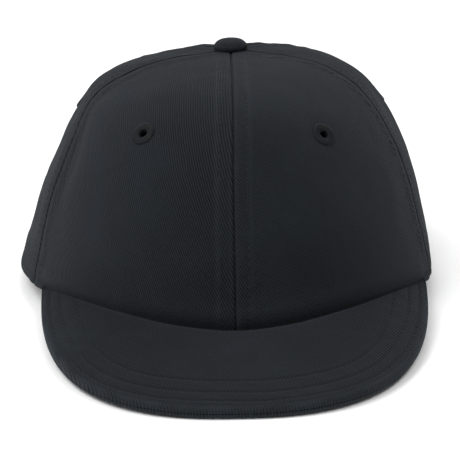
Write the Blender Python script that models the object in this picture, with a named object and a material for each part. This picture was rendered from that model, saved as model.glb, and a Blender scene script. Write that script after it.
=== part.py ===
"""A bump cap: a six-panel cotton twill cap with a peak, worn over a removable ABS shell.

+X is the wearer's left, the peak points to -Y, +Z is up, and Z = 0 is the surface that the cap
rests on, with the back of its rim and the tip of its peak. The crown is one smooth surface,
and every layer of the cap is a plate between two depths under it. An azimuth of 0 is the
front centre and +90 is at +X. A level of 0 is the rim and 1 is the top of the crown.
"""

import math

import bmesh
import bpy
from mathutils import Matrix, Vector

MM = 0.001

# The crown's outer surface, in millimetres and degrees
HALF_WIDTH = 88.0
HALF_LENGTH = 102.5
RIM_EXPONENT = 2.143
APEX_HEIGHT = 95.6
# The crown's axis lies this far behind the origin, which is under the middle of the whole cap
CROWN_AXIS_Y = 29.5
RIM_HEIGHTS = (
    (0, 6.8), (12, 8.2), (25, 10.4), (38, 11.5), (50, 10.6), (60, 8.8), (70, 8.2),
    (80, 7.4), (100, 6.1), (132, 1.8), (148, 0.0), (180, 0.0),
)
# Each meridian's squareness, how far it leans in, and how late it does so
FRONT_PROFILE = (3.8, 0.115, 1.0)
SIDE_PROFILE = (3.56, 0.231, 1.0)
BACK_PROFILE = (2.05, 0.45, 3.0)
LEVEL_RIM_HEIGHT = 26.0

# Crown panels
FRONT_SEAM, SIDE_SEAM, BACK_SEAM = 66.0, 123.0, 180.0
TWILL = 1.2
SEAM_GAP = 0.3
TOP_HOLE_RADIUS = 4.0
PANEL_ROWS = 11
PANEL_COLUMNS = 8

# Layers under the crown's surface, each from an outer to an inner depth
TAPE_DEPTH = (1.9, 2.4)
SWEATBAND_DEPTH = (3.1, 4.7)
LABEL_DEPTH = (5.3, 5.8)
CAP_DOT_DEPTH = (1.9, 2.9)
SHELL_DOT_DEPTH = (3.4, 4.4)
SHELL_DEPTH = (5.0, 7.2)
PAD_DEPTH = (7.9, 12.9)

TAPE_HALF_WIDTH = 6.0
TAPE_TOP_RADIUS = 16.0
SWEATBAND_TOP = 36.0
SHELL_RIM = 42.0
PAD_HEIGHTS = (46.0, 68.0)
CROWN_PAD_RADIUS = 27.0
VENT_LENGTH, VENT_WIDTH, VENT_RADIUS = 24.0, 6.0, 46.0
VENT_COUNT = 6

# Fasteners and trim
DOT_RADIUS = 9.0
DOTS = {"front_left": (33, 52), "front_right": (-33, 52), "rear_left": (150, 60), "rear_right": (-150, 60)}
EYELET_LEVEL = 0.428
EYELET_AZIMUTHS = {"front": 28.8, "side": 94.5, "back": 151.5}
EYELET_RADIUS, EYELET_HOLE_RADIUS, EYELET_NECK_RADIUS = 4.1, 1.5, 1.8
EYELET_CLEARANCE = 0.3
EYELET_RAISE = 0.9
BUTTON_RADIUS, BUTTON_HEIGHT = 6.8, 4.8

# Rear opening and its strap
ARCH_HALF_WIDTH, ARCH_HEIGHT = 34.0, 38.0
ARCH_EXPONENT = 2.6
BINDING_WIDTH = 3.0
BINDING_GAP = 0.9
BINDING_DEPTH = (-0.6, 1.5)
BINDING_LIFT = 0.8
STRAP_HEIGHTS = (3.0, 23.0)
PATCH_HEIGHTS = (5.0, 21.0)
OUTER_STRAP_DEPTH = (-2.0, -0.8)
HOOK_PATCH_DEPTH = (-0.5, 0.0)
LOOP_PATCH_DEPTH = (0.3, 1.4)
INNER_STRAP_DEPTH = (2.0, 2.8)
STRAP_ROOT = 44.0
STRAP_HINGE_X = 28.8
OUTER_STRAP_END = 24.0
INNER_STRAP_END = 22.0
PATCH_END = 19.0

# Peak
PEAK_HALF_WIDTH = 77.8
PEAK_CENTRE_FORWARD = 25.0
PEAK_TIP_FORWARD = 163.4
PEAK_EXPONENT = 2.69
PEAK_END_AZIMUTH = 61.5
PEAK_OUTLINE_START = 9.0
PEAK_JOINT_GAP = 0.6
PEAK_JOINT_HEIGHTS = ((0, 8.35), (12, 9.75), (25, 12.05), (38, 13.1), (50, 11.9), (62, 9.0))
PEAK_EDGE_HEIGHTS = ((0, 10.3), (22, 6.1), (45, 3.6), (68, 3.1), (90, 2.35))
PEAK_HALF_THICKNESS = 2.3
PEAK_COVER = 1.0
PEAK_BOARD_HALF = 0.8
PEAK_COVER_GAP = 0.3
PEAK_SPLIT = 0.15
PEAK_STATIONS = 40


# ---------------------------------------------------------------- the crown's surface

def interpolate(table, x):
    """A smooth curve through the table's points, level outside them."""
    if x <= table[0][0]:
        return table[0][1]
    if x >= table[-1][0]:
        return table[-1][1]
    k = max(i for i in range(len(table) - 1) if table[i][0] <= x)

    def slope(i):
        low, high = table[max(i - 1, 0)], table[min(i + 1, len(table) - 1)]
        turns_back = (table[i][1] - low[1]) * (high[1] - table[i][1]) <= 0
        return 0.0 if turns_back else (high[1] - low[1]) / (high[0] - low[0])

    (x0, y0), (x1, y1) = table[k], table[k + 1]
    span = x1 - x0
    t = (x - x0) / span
    return (
        y0 * (1 + 2 * t) * (1 - t) ** 2
        + slope(k) * span * t * (1 - t) ** 2
        + y1 * t * t * (3 - 2 * t)
        - slope(k + 1) * span * t * t * (1 - t)
    )


def signed_power(value, exponent):
    return math.copysign(abs(value) ** exponent, value)


def rim_outline(azimuth):
    """(x, forward) of the rim's oval."""
    angle = math.radians(azimuth)
    x = HALF_WIDTH * signed_power(math.sin(angle), 2 / RIM_EXPONENT)
    return x, HALF_LENGTH * signed_power(math.cos(angle), 2 / RIM_EXPONENT)


def azimuth_at_x(x, behind=True):
    """The azimuth at which the rim's oval has this x, at the back or at the front."""
    angle = math.degrees(math.asin(min(1.0, (abs(x) / HALF_WIDTH) ** (RIM_EXPONENT / 2))))
    return math.copysign(180 - angle if behind else angle, x)


def rim_height(azimuth):
    return interpolate(RIM_HEIGHTS, abs((azimuth + 180) % 360 - 180))


def profile(azimuth):
    """(squareness, lean, lateness) of the meridian at this azimuth."""
    along = math.cos(math.radians(azimuth))
    end = FRONT_PROFILE if along > 0 else BACK_PROFILE
    return [side + (value - side) * along * along for side, value in zip(SIDE_PROFILE, end)]


def crown_point(azimuth, level):
    square, lean, late = profile(azimuth)
    turn = min(max(level, 0.0), 1.0) * math.pi / 2
    up = math.sin(turn) ** (2 / square)
    scale = max(math.cos(turn), 0.0) ** (2 / square) * (1 - lean * up ** late)
    x, forward = rim_outline(azimuth)
    low = rim_height(azimuth)
    return Vector((x * scale, -forward * scale, low + (APEX_HEIGHT - low) * up))


def crown_normal(azimuth, level):
    level = min(max(level, 0.002), 0.985)
    across = crown_point(azimuth + 0.5, level) - crown_point(azimuth - 0.5, level)
    upward = crown_point(azimuth, level + 0.002) - crown_point(azimuth, level - 0.002)
    return across.cross(upward).normalized()


def layer_point(azimuth, level, depth):
    """A point this deep under the crown. Near the rim it lies level with the surface's own point."""
    point = crown_point(azimuth, level)
    normal = crown_normal(azimuth, level)
    share = min(max((point.z - rim_height(azimuth)) / LEVEL_RIM_HEIGHT, 0.0), 1.0)
    outward = Vector((normal.x, normal.y, normal.z * share * share * (3 - 2 * share))).normalized()
    return point - outward * (depth / outward.dot(normal))


def level_at_height(azimuth, height):
    low = rim_height(azimuth)
    up = min(max((height - low) / (APEX_HEIGHT - low), 0.0), 1.0)
    return math.asin(up ** (profile(azimuth)[0] / 2)) * 2 / math.pi


def level_at_radius(azimuth, radius):
    """The level at which the crown is this far from its vertical axis."""
    low, high = 0.0, 1.0
    for _ in range(40):
        middle = (low + high) / 2
        if crown_point(azimuth, middle).xy.length > radius:
            low = middle
        else:
            high = middle
    return low


def sideways(azimuth, level, distance):
    """The azimuth that lies this distance further round, at this level."""
    return azimuth + math.degrees(distance / crown_point(azimuth, level).xy.length)


# ---------------------------------------------------------------- meshes

def material(name, colour, roughness, metallic=0.0):
    made = bpy.data.materials.new(name)
    made.use_nodes = True
    shader = made.node_tree.nodes["Principled BSDF"]
    shader.inputs["Base Color"].default_value = (*colour, 1.0)
    shader.inputs["Roughness"].default_value = roughness
    shader.inputs["Metallic"].default_value = metallic
    return made


def add_object(name, points, faces, finish):
    """One closed body from points in millimetres about the crown's axis, its faces turned outward."""
    mesh = bpy.data.meshes.new(name)
    origin = Vector((0, CROWN_AXIS_Y, 0))
    mesh.from_pydata([(Vector(p) + origin) * MM for p in points], [], faces)
    made = bmesh.new()
    made.from_mesh(mesh)
    bmesh.ops.recalc_face_normals(made, faces=made.faces)
    if made.calc_volume(signed=True) < 0:
        bmesh.ops.reverse_faces(made, faces=made.faces)
    made.to_mesh(mesh)
    made.free()
    mesh.materials.append(finish)
    mesh.shade_smooth()
    mesh.set_sharp_from_angle(angle=math.radians(40))
    obj = bpy.data.objects.new(name, mesh)
    bpy.context.scene.collection.objects.link(obj)
    return obj


def plate(name, places, depths, finish):
    """A curved plate between two depths. places[i][j] is an (azimuth, level), in columns."""
    columns, rows = len(places), len(places[0])
    points = [layer_point(*place, depth) for depth in depths for column in places for place in column]
    inner = columns * rows
    faces = []
    for i in range(columns - 1):
        for j in range(rows - 1):
            a = i * rows + j
            quad = (a, a + rows, a + rows + 1, a + 1)
            faces += [quad, tuple(inner + k for k in reversed(quad))]
    border = [i * rows for i in range(columns)]
    border += [(columns - 1) * rows + j for j in range(1, rows)]
    border += [i * rows + rows - 1 for i in range(columns - 2, -1, -1)]
    border += list(range(rows - 2, 0, -1))
    faces += [
        (border[k], inner + border[k], inner + border[(k + 1) % len(border)], border[(k + 1) % len(border)])
        for k in range(len(border))
    ]
    return add_object(name, points, faces, finish)


def spaced(low, high, steps):
    return [low + (high - low) * k / steps for k in range(steps + 1)]


def band(name, azimuths, heights, rows, depths, finish):
    """A plate between two heights. heights is a pair, or a function of the azimuth that gives one."""
    pairs = [heights(a) if callable(heights) else heights for a in azimuths]
    places = [
        [(a, level) for level in spaced(level_at_height(a, low), level_at_height(a, high), rows)]
        for a, (low, high) in zip(azimuths, pairs)
    ]
    return plate(name, places, depths, finish)


def dome(name, columns, rows, start_level, depths, finish):
    """A closed dome round the top of the crown, from start_level(azimuth) up."""
    azimuths = [360 * k / columns for k in range(columns)]
    points, faces = [], []
    for depth in depths:
        for a in azimuths:
            levels = spaced(start_level(a), 1.0, rows)[:-1]
            points += [layer_point(a, level, depth) for level in levels]
        points.append(Vector((0, 0, APEX_HEIGHT - depth)))
    inner = columns * rows + 1
    for i in range(columns):
        a, b = i * rows, (i + 1) % columns * rows
        for j in range(rows - 1):
            quad = (a + j, b + j, b + j + 1, a + j + 1)
            faces += [quad, tuple(inner + k for k in reversed(quad))]
        cap = (a + rows - 1, b + rows - 1, columns * rows)
        faces += [cap, tuple(inner + k for k in reversed(cap)), (a, inner + a, inner + b, b)]
    return add_object(name, points, faces, finish)


def spin(name, profile_points, centre, axis, segments, finish):
    """A turned piece. The profile is closed, or starts and ends on the axis, as (radius, height)."""
    turn = axis.to_track_quat("Z", "Y").to_matrix()
    points, rings = [], []
    for radius, height in profile_points:
        count = 1 if radius == 0 else segments
        rings.append(range(len(points), len(points) + count))
        for k in range(count):
            angle = 2 * math.pi * k / segments
            local = Vector((radius * math.cos(angle), radius * math.sin(angle), height))
            points.append(centre + turn @ local)
    on_axis = profile_points[0][0] == 0
    pairs = list(zip(rings, rings[1:])) + ([] if on_axis else [(rings[-1], rings[0])])
    faces = []
    for low, high in pairs:
        for k in range(segments):
            n = (k + 1) % segments
            if len(low) == 1:
                faces.append((low[0], high[k], high[n]))
            elif len(high) == 1:
                faces.append((low[k], low[n], high[0]))
            else:
                faces.append((low[k], low[n], high[n], high[k]))
    return add_object(name, points, faces, finish)


def sweep(name, sections, finish):
    """A solid through closed sections with equally many points, capped at both ends."""
    count = len(sections[0])
    points = [p for section in sections for p in section]
    faces = []
    for i in range(len(sections) - 1):
        for k in range(count):
            n = (k + 1) % count
            faces.append((i * count + k, i * count + n, (i + 1) * count + n, (i + 1) * count + k))
    last = (len(sections) - 1) * count
    faces += [tuple(range(count)), tuple(last + k for k in reversed(range(count)))]
    return add_object(name, points, faces, finish)


def cut(obj, cutter):
    cutter.hide_render = True
    cutter.display_type = "WIRE"
    modifier = obj.modifiers.new("cut_" + cutter.name, "BOOLEAN")
    modifier.operation = "DIFFERENCE"
    modifier.object = cutter


# ---------------------------------------------------------------- fabric crown

def panel_places(seams, lowest):
    """Places of one panel between two seam azimuths, with half a seam gap at each."""
    low, high = seams
    places = []
    for a in panel_azimuths(low, high):
        column = []
        for level in spaced(lowest(a), level_at_radius(a, TOP_HOLE_RADIUS), PANEL_ROWS):
            inset = SEAM_GAP / 2 if a == low else -SEAM_GAP / 2 if a == high else 0.0
            column.append((sideways(a, level, inset), level))
        places.append(column)
    return places


def panel_azimuths(low, high):
    """Even steps, except that a back panel has finer steps over the rear opening."""
    if abs(low) != BACK_SEAM and abs(high) != BACK_SEAM:
        return spaced(low, high, PANEL_COLUMNS)
    start = azimuth_at_x(ARCH_HALF_WIDTH)
    over = [
        azimuth_at_x(ARCH_HALF_WIDTH * math.cos(math.radians(t)) ** (2 / ARCH_EXPONENT))
        for t in (9, 20, 34, 50, 70)
    ]
    found = spaced(SIDE_SEAM, start, 5) + over + [BACK_SEAM]
    return found if high == BACK_SEAM else [-a for a in reversed(found)]


def arch_height(azimuth):
    """How high the rear opening reaches at this azimuth, or 0 beside it."""
    share = abs(rim_outline(azimuth)[0]) / ARCH_HALF_WIDTH
    behind = math.cos(math.radians(azimuth)) < 0
    if not behind or share >= 1:
        return 0.0
    return ARCH_HEIGHT * (1 - share ** ARCH_EXPONENT) ** (1 / ARCH_EXPONENT)


def make_panels(twill):
    def lowest(azimuth):
        return level_at_height(azimuth, max(rim_height(azimuth), arch_height(azimuth)))

    seams = {"front": (0.0, FRONT_SEAM), "side": (FRONT_SEAM, SIDE_SEAM), "back": (SIDE_SEAM, BACK_SEAM)}
    panels = {}
    for place, (low, high) in seams.items():
        for side, sign in (("left", 1), ("right", -1)):
            pair = (low, high) if sign > 0 else (-high, -low)
            name = f"{place}_panel_{side}"
            panels[place, side] = plate(name, panel_places(pair, lowest), (0.0, TWILL), twill)
    return panels


def make_eyelets(panels, thread):
    """Embroidered ventilation eyelets, each with a neck through its panel."""
    for place, azimuth in EYELET_AZIMUTHS.items():
        for side, sign in (("left", 1), ("right", -1)):
            centre = crown_point(sign * azimuth, EYELET_LEVEL)
            axis = crown_normal(sign * azimuth, EYELET_LEVEL)
            hole = EYELET_NECK_RADIUS + EYELET_CLEARANCE
            drill = spin(
                f"drill_{place}_{side}", [(0, -4), (hole, -4), (hole, 3), (0, 3)], centre, axis, 16, thread
            )
            cut(panels[place, side], drill)
            outline = [
                (EYELET_HOLE_RADIUS, -1.4), (EYELET_NECK_RADIUS, -1.4), (EYELET_NECK_RADIUS, 0.35),
                (EYELET_RADIUS, 0.3), (EYELET_RADIUS - 0.3, EYELET_RAISE - 0.2),
                (EYELET_RADIUS - 1.2, EYELET_RAISE), (EYELET_HOLE_RADIUS + 0.3, EYELET_RAISE),
                (EYELET_HOLE_RADIUS, EYELET_RAISE - 0.3),
            ]
            spin(f"{place}_eyelet_{side}", outline, centre, axis, 16, thread)


def make_seam_tapes(tape):
    seams = {"front": 0.0, "front_left": FRONT_SEAM, "front_right": -FRONT_SEAM,
             "rear_left": SIDE_SEAM, "rear_right": -SIDE_SEAM, "rear": BACK_SEAM}
    for place, azimuth in seams.items():
        low = ARCH_HEIGHT + 2.0 if azimuth == BACK_SEAM else rim_height(azimuth) + 2.0
        levels = spaced(level_at_height(azimuth, low), level_at_radius(azimuth, TAPE_TOP_RADIUS), 12)
        places = [
            [(sideways(azimuth, level, across), level) for level in levels]
            for across in (-TAPE_HALF_WIDTH, 0.0, TAPE_HALF_WIDTH)
        ]
        plate(f"seam_tape_{place}", places, TAPE_DEPTH, tape)


def make_button(twill, metal):
    """The covered button, the rivet that holds it, and the washer inside the crown."""
    top = Vector((0, 0, APEX_HEIGHT))
    up = Vector((0, 0, 1))
    shoulder = [
        (BUTTON_RADIUS * math.cos(math.radians(t)), 1.6 + (BUTTON_HEIGHT - 1.6) * math.sin(math.radians(t)))
        for t in (0, 22, 45, 68)
    ]
    outline = [(0, 2.3), (5.0, 2.3), (5.0, 0.3), (6.2, 0.3), *shoulder, (0, BUTTON_HEIGHT)]
    spin("button_cover", outline, top, up, 24, twill)
    spin("button_rivet", [(0, -3.2), (1.8, -3.2), (1.8, 0.6), (4.6, 0.6), (4.6, 2.0), (0, 2.0)], top, up, 16, metal)
    spin("button_washer", [(2.2, -2.9), (7.2, -2.9), (7.2, -1.9), (2.2, -1.9)], top, up, 20, metal)


def make_sweatband(terry, woven):
    end = azimuth_at_x(ARCH_HALF_WIDTH + 1.5)
    band("sweatband", spaced(-end, end, 46), lambda a: (rim_height(a) + 0.4, SWEATBAND_TOP), 3,
         SWEATBAND_DEPTH, terry)
    centre = azimuth_at_x(50.0)
    band("size_label", spaced(centre - 6, centre + 6, 2), (12.0, 26.0), 2, LABEL_DEPTH, woven)


# ---------------------------------------------------------------- rear opening

def arch_point(half_width, height, turn, depth):
    power = 2 / ARCH_EXPONENT
    azimuth = azimuth_at_x(half_width * signed_power(math.cos(turn), power))
    rise = BINDING_LIFT + height * max(math.sin(turn), 0.0) ** power
    return layer_point(azimuth, level_at_height(azimuth, rise), depth)


def make_arch_binding(woven):
    outer_w, outer_h = ARCH_HALF_WIDTH - BINDING_GAP, ARCH_HEIGHT - BINDING_GAP - BINDING_LIFT
    inner_w, inner_h = outer_w - BINDING_WIDTH, outer_h - BINDING_WIDTH
    sections = []
    for turn in spaced(0.0, math.pi, 24):
        high, low = BINDING_DEPTH
        sections.append([
            arch_point(outer_w, outer_h, turn, high), arch_point(outer_w, outer_h, turn, low),
            arch_point(inner_w, inner_h, turn, low - 0.4),
            arch_point(inner_w, inner_h, turn, high + 0.4),
        ])
    sweep("arch_binding", sections, woven)


def strap_azimuths(start, end, steps):
    """Azimuths along the back from one x to another, through the back centre."""
    found = []
    for x in spaced(start, end, steps):
        azimuth = azimuth_at_x(x) if x else 180.0
        found.append(azimuth if azimuth > 0 else azimuth + 360)
    return found


def make_straps(webbing, hook, loop):
    """The outer strap swings on its sewn end. Its mesh is placed about that hinge."""
    hinge = (strap_hinge()[0] + Vector((0, CROWN_AXIS_Y, 0))) * MM
    moving = [
        band("closure_strap_outer", strap_azimuths(-STRAP_HINGE_X, OUTER_STRAP_END, 10), STRAP_HEIGHTS, 2,
             OUTER_STRAP_DEPTH, webbing),
        band("closure_hook_patch", strap_azimuths(-PATCH_END, PATCH_END, 8), PATCH_HEIGHTS, 2,
             HOOK_PATCH_DEPTH, hook),
    ]
    for obj in moving:
        obj.data.transform(Matrix.Translation(-hinge))
        obj.location = hinge
    band("closure_strap_inner", strap_azimuths(-INNER_STRAP_END, STRAP_ROOT, 12), STRAP_HEIGHTS, 2,
         INNER_STRAP_DEPTH, webbing)
    band("closure_loop_patch", strap_azimuths(-PATCH_END, PATCH_END, 8), PATCH_HEIGHTS, 2,
         LOOP_PATCH_DEPTH, loop)
    band("closure_strap_outer_root", strap_azimuths(-STRAP_ROOT, -STRAP_HINGE_X - 1.0, 3), STRAP_HEIGHTS, 2,
         INNER_STRAP_DEPTH, webbing)


def strap_hinge():
    """A point on the outer strap's hinge, in millimetres, and the hinge's direction."""
    azimuth = azimuth_at_x(-STRAP_HINGE_X)
    low, high = (
        layer_point(azimuth, level_at_height(azimuth, h), OUTER_STRAP_DEPTH[0]) for h in STRAP_HEIGHTS
    )
    return (low + high) / 2, (high - low).normalized()


# ---------------------------------------------------------------- shell insert

def make_dots(loop, hook):
    """Hook-and-loop dots in pairs: the loop one is sewn to the cap, the hook one is on the shell."""
    for place, (azimuth, height) in DOTS.items():
        for piece, depths, finish in (("loop", CAP_DOT_DEPTH, loop), ("hook", SHELL_DOT_DEPTH, hook)):
            conformal_disc(f"retaining_dot_{piece}_{place}", azimuth, height, DOT_RADIUS, depths, finish)


def conformal_disc(name, azimuth, height, radius, depths, finish, segments=16):
    """A round patch that follows the crown: a centre, a half-way ring and an edge ring."""
    level = level_at_height(azimuth, height)
    rise = (crown_point(azimuth, level + 0.01) - crown_point(azimuth, level - 0.01)).length / 0.02
    points, faces = [], []
    for depth in depths:
        points.append(layer_point(azimuth, level, depth))
        for ring in (0.5, 1.0):
            for k in range(segments):
                angle = 2 * math.pi * k / segments
                up = level + ring * radius * math.sin(angle) / rise
                points.append(layer_point(sideways(azimuth, up, ring * radius * math.cos(angle)), up, depth))
    inner = 2 * segments + 1
    for k in range(segments):
        n = (k + 1) % segments
        near, far = (1 + k, 1 + n), (1 + segments + k, 1 + segments + n)
        faces += [(0, *near), (near[0], far[0], far[1], near[1])]
        faces += [(inner, inner + near[1], inner + near[0])]
        faces += [(inner + near[0], inner + near[1], inner + far[1], inner + far[0])]
        faces += [(far[0], inner + far[0], inner + far[1], far[1])]
    return add_object(name, points, faces, finish)


def make_shell(abs_plastic):
    shell = dome("abs_shell", 40, 10, lambda a: level_at_height(a, SHELL_RIM), SHELL_DEPTH, abs_plastic)
    for k in range(VENT_COUNT):
        turn = math.radians(30 + 60 * k)
        outward = Vector((math.sin(turn), -math.cos(turn), 0))
        sideway = Vector((outward.y, -outward.x, 0))
        ring = []
        for end in (1, -1):
            for t in (-90, -45, 0, 45, 90):
                angle = math.radians(t)
                reach = VENT_RADIUS + end * (VENT_LENGTH - VENT_WIDTH) / 2 + end * math.cos(angle) * VENT_WIDTH / 2
                ring.append(outward * reach + sideway * (end * math.sin(angle) * VENT_WIDTH / 2))
        sections = [[p + Vector((0, 0, z)) for p in ring] for z in (APEX_HEIGHT - 40, APEX_HEIGHT + 5)]
        cut(shell, sweep(f"vent_cutter_{k}", sections, abs_plastic))


def make_pads(foam):
    pads = {"pad_brow": (-34, 34, 9), "pad_left": (72, 112, 5), "pad_right": (-112, -72, 5), "pad_rear": (155, 205, 6)}
    for name, (low, high, columns) in pads.items():
        band(name, spaced(low, high, columns), PAD_HEIGHTS, 3, PAD_DEPTH, foam)
    dome("pad_crown", 20, 3, lambda a: level_at_radius(a, CROWN_PAD_RADIUS), PAD_DEPTH, foam)


# ---------------------------------------------------------------- peak

def peak_lines():
    """Lines from the joint with the crown to the peak's edge, as (start, direction, length, normal)."""
    starts, ends = [], []
    for t in spaced(-1.0, 1.0, PEAK_STATIONS):
        azimuth = t * PEAK_END_AZIMUTH
        x, forward = rim_outline(azimuth)
        outward = crown_normal(azimuth, 0.01)
        outward.z = 0
        outward.normalize()
        height = interpolate(PEAK_JOINT_HEIGHTS, abs(azimuth))
        starts.append(Vector((x, -forward, height)) + outward * PEAK_JOINT_GAP)
        turn = 90 - (90 - PEAK_OUTLINE_START) * abs(t)
        edge_x = PEAK_HALF_WIDTH * math.cos(math.radians(turn)) ** (2 / PEAK_EXPONENT)
        reach = math.sin(math.radians(turn)) ** (2 / PEAK_EXPONENT)
        edge_forward = PEAK_CENTRE_FORWARD + (PEAK_TIP_FORWARD - PEAK_CENTRE_FORWARD) * reach
        edge_height = interpolate(PEAK_EDGE_HEIGHTS, turn)
        ends.append(Vector((math.copysign(edge_x, t), -edge_forward, edge_height)))
    lines = []
    for start, end in zip(starts, ends):
        ruling = end - start
        direction = ruling.normalized()
        up = Vector((0, 0, 1))
        lines.append((start, direction, ruling.length, (up - direction * direction.z).normalized()))
    return lines


def peak_piece(name, outline, finish):
    """outline(length) gives the section's points as (distance from the joint, height)."""
    sections = [
        [start + direction * along + normal * up for along, up in outline(length)]
        for start, direction, length, normal in peak_lines()
    ]
    return sweep(name, sections, finish)


def make_peak(twill, board):
    skirt = PEAK_COVER + 0.2
    under = PEAK_HALF_THICKNESS - PEAK_COVER

    def cover(side):
        def outline(length):
            points = [
                (0.0, under), (length - skirt, under), (length - skirt, PEAK_SPLIT), (length, PEAK_SPLIT),
                (length, 1.2), (length - 0.5, 2.0), (length - 1.3, PEAK_HALF_THICKNESS),
                (0.0, PEAK_HALF_THICKNESS),
            ]
            return [(along, side * up) for along, up in points]
        return outline

    def core(length):
        reach = length - skirt - PEAK_COVER_GAP
        return [(0.0, -PEAK_BOARD_HALF), (reach, -PEAK_BOARD_HALF), (reach, PEAK_BOARD_HALF), (0.0, PEAK_BOARD_HALF)]

    peak_piece("peak_top_cover", cover(1), twill)
    peak_piece("peak_under_cover", cover(-1), twill)
    peak_piece("peak_board", core, board)


# ---------------------------------------------------------------- the cap

def main():
    for obj in list(bpy.data.objects):
        bpy.data.objects.remove(obj, do_unlink=True)
    twill = material("black_twill", (0.02, 0.022, 0.026), 0.85)
    thread = material("black_thread", (0.015, 0.016, 0.018), 0.6)
    tape = material("seam_tape", (0.02, 0.02, 0.022), 0.8)
    terry = material("sweatband_terry", (0.03, 0.03, 0.032), 0.95)
    woven = material("woven_binding", (0.02, 0.02, 0.022), 0.8)
    label = material("label_satin", (0.6, 0.6, 0.58), 0.5)
    webbing = material("strap_twill", (0.02, 0.022, 0.026), 0.85)
    hook = material("hook_tape", (0.012, 0.012, 0.014), 0.55)
    loop = material("loop_tape", (0.02, 0.02, 0.022), 0.95)
    plastic = material("abs_plastic", (0.03, 0.03, 0.032), 0.4)
    foam = material("eva_foam", (0.05, 0.05, 0.055), 0.9)
    board = material("peak_board_plastic", (0.7, 0.7, 0.68), 0.6)
    metal = material("rivet_metal", (0.55, 0.55, 0.56), 0.35, 1.0)

    panels = make_panels(twill)
    make_eyelets(panels, thread)
    make_seam_tapes(tape)
    make_button(twill, metal)
    make_sweatband(terry, label)
    make_arch_binding(woven)
    make_straps(webbing, hook, loop)
    make_dots(loop, hook)
    make_shell(plastic)
    make_pads(foam)
    make_peak(twill, board)


main()
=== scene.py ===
"""The looks of a bump cap: a six-panel cotton twill cap with a peak, worn over a removable ABS shell.

Lengths are millimetres about the crown's vertical axis, and become metres where a mesh is made.
+X is the wearer's left and the peak points to -Y. An azimuth of 0 is the front centre and +90 is
at +X. A level of 0 is the crown's rim and 1 its top. Every layer of the crown lies at a depth
under its surface, as in the CAD.
"""

import math

import bmesh
import bpy
import numpy as np
from mathutils import Matrix, Vector


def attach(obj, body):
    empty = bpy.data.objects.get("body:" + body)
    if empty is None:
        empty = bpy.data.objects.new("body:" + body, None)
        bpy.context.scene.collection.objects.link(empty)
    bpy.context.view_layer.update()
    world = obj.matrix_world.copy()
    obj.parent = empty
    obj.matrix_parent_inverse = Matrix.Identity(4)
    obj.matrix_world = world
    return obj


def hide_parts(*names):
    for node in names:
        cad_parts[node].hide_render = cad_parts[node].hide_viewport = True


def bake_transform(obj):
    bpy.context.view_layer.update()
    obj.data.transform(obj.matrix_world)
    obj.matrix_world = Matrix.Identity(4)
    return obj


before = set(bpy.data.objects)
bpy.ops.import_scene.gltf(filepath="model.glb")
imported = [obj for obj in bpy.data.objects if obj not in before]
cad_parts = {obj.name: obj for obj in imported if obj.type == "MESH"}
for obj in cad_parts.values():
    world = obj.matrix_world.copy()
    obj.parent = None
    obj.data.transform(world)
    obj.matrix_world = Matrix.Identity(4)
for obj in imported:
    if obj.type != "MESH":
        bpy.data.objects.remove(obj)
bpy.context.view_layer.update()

MM = 0.001
CROWN_AXIS_Y = 29.5

# The crown's outer surface
HALF_WIDTH, HALF_LENGTH, RIM_EXPONENT = 88.0, 102.5, 2.143
APEX_HEIGHT = 95.6
RIM_HEIGHTS = (
    (0, 6.8), (12, 8.2), (25, 10.4), (38, 11.5), (50, 10.6), (60, 8.8), (70, 8.2),
    (80, 7.4), (100, 6.1), (132, 1.8), (148, 0.0), (180, 0.0),
)
# Each meridian's squareness, how far it leans in, and how late it does so
FRONT_PROFILE = (3.8, 0.115, 1.0)
SIDE_PROFILE = (3.56, 0.231, 1.0)
BACK_PROFILE = (2.05, 0.45, 3.0)
LEVEL_RIM_HEIGHT = 26.0
# How the soft cloth hangs: two lengths, and an angle in degrees
SIDE_LEAN, CORNER_LIFT, SEAM_TURN = 3.6, 1.0, 5.5

# Panels and their seams
SEAMS = (-180.0, -123.0, -66.0, 0.0, 66.0, 123.0, 180.0)
TWILL = 1.25
TOP_HOLE_RADIUS = 4.0
ALLOWANCE = 5.0
STITCH_PITCH = 2.9
THREAD_RADIUS = 0.19
HEM_STITCH_HEIGHT = 4.0
# A stitch's half length as a share of the pitch, and how far the rows are pulled in near the button
STITCH_REACH, TOP_STITCH_SINK = (0.35, 0.41), 0.22

# Layers under the crown's surface, each from an outer to an inner depth
TAPE_DEPTH = (1.9, 2.4)
SWEATBAND_DEPTH = (3.1, 4.7)
LABEL_DEPTH = (5.0, 5.5)
CAP_DOT_DEPTH, SHELL_DOT_DEPTH = (1.9, 2.9), (3.4, 4.4)
SHELL_DEPTH = (5.0, 7.2)
PAD_DEPTH = (7.5, 12.9)
TAPE_HALF_WIDTH, TAPE_TOP_RADIUS = 6.0, 16.0
SWEATBAND_TOP, SWEATBAND_CUT, SHELL_RIM = 36.0, (36.0, 540.0), 42.0
# The sweatband's two stitch lines: under its top edge, and over the rim
SWEATBAND_TOP_SEAM, SWEATBAND_RIM_SEAM = 3.6, 3.8
LABEL_X, LABEL_HALF_TURN, LABEL_HEIGHTS, LABEL_CUT = 50.0, 6, (12.0, 26.0), (19.0, 14.0)
PAD_HEIGHTS, PAD_CORNER, CROWN_PAD_RADIUS = (46.0, 68.0), 7.0, 27.0
VENT_LENGTH, VENT_WIDTH, VENT_RADIUS, VENT_COUNT = 24.0, 6.0, 46.0, 6

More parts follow.
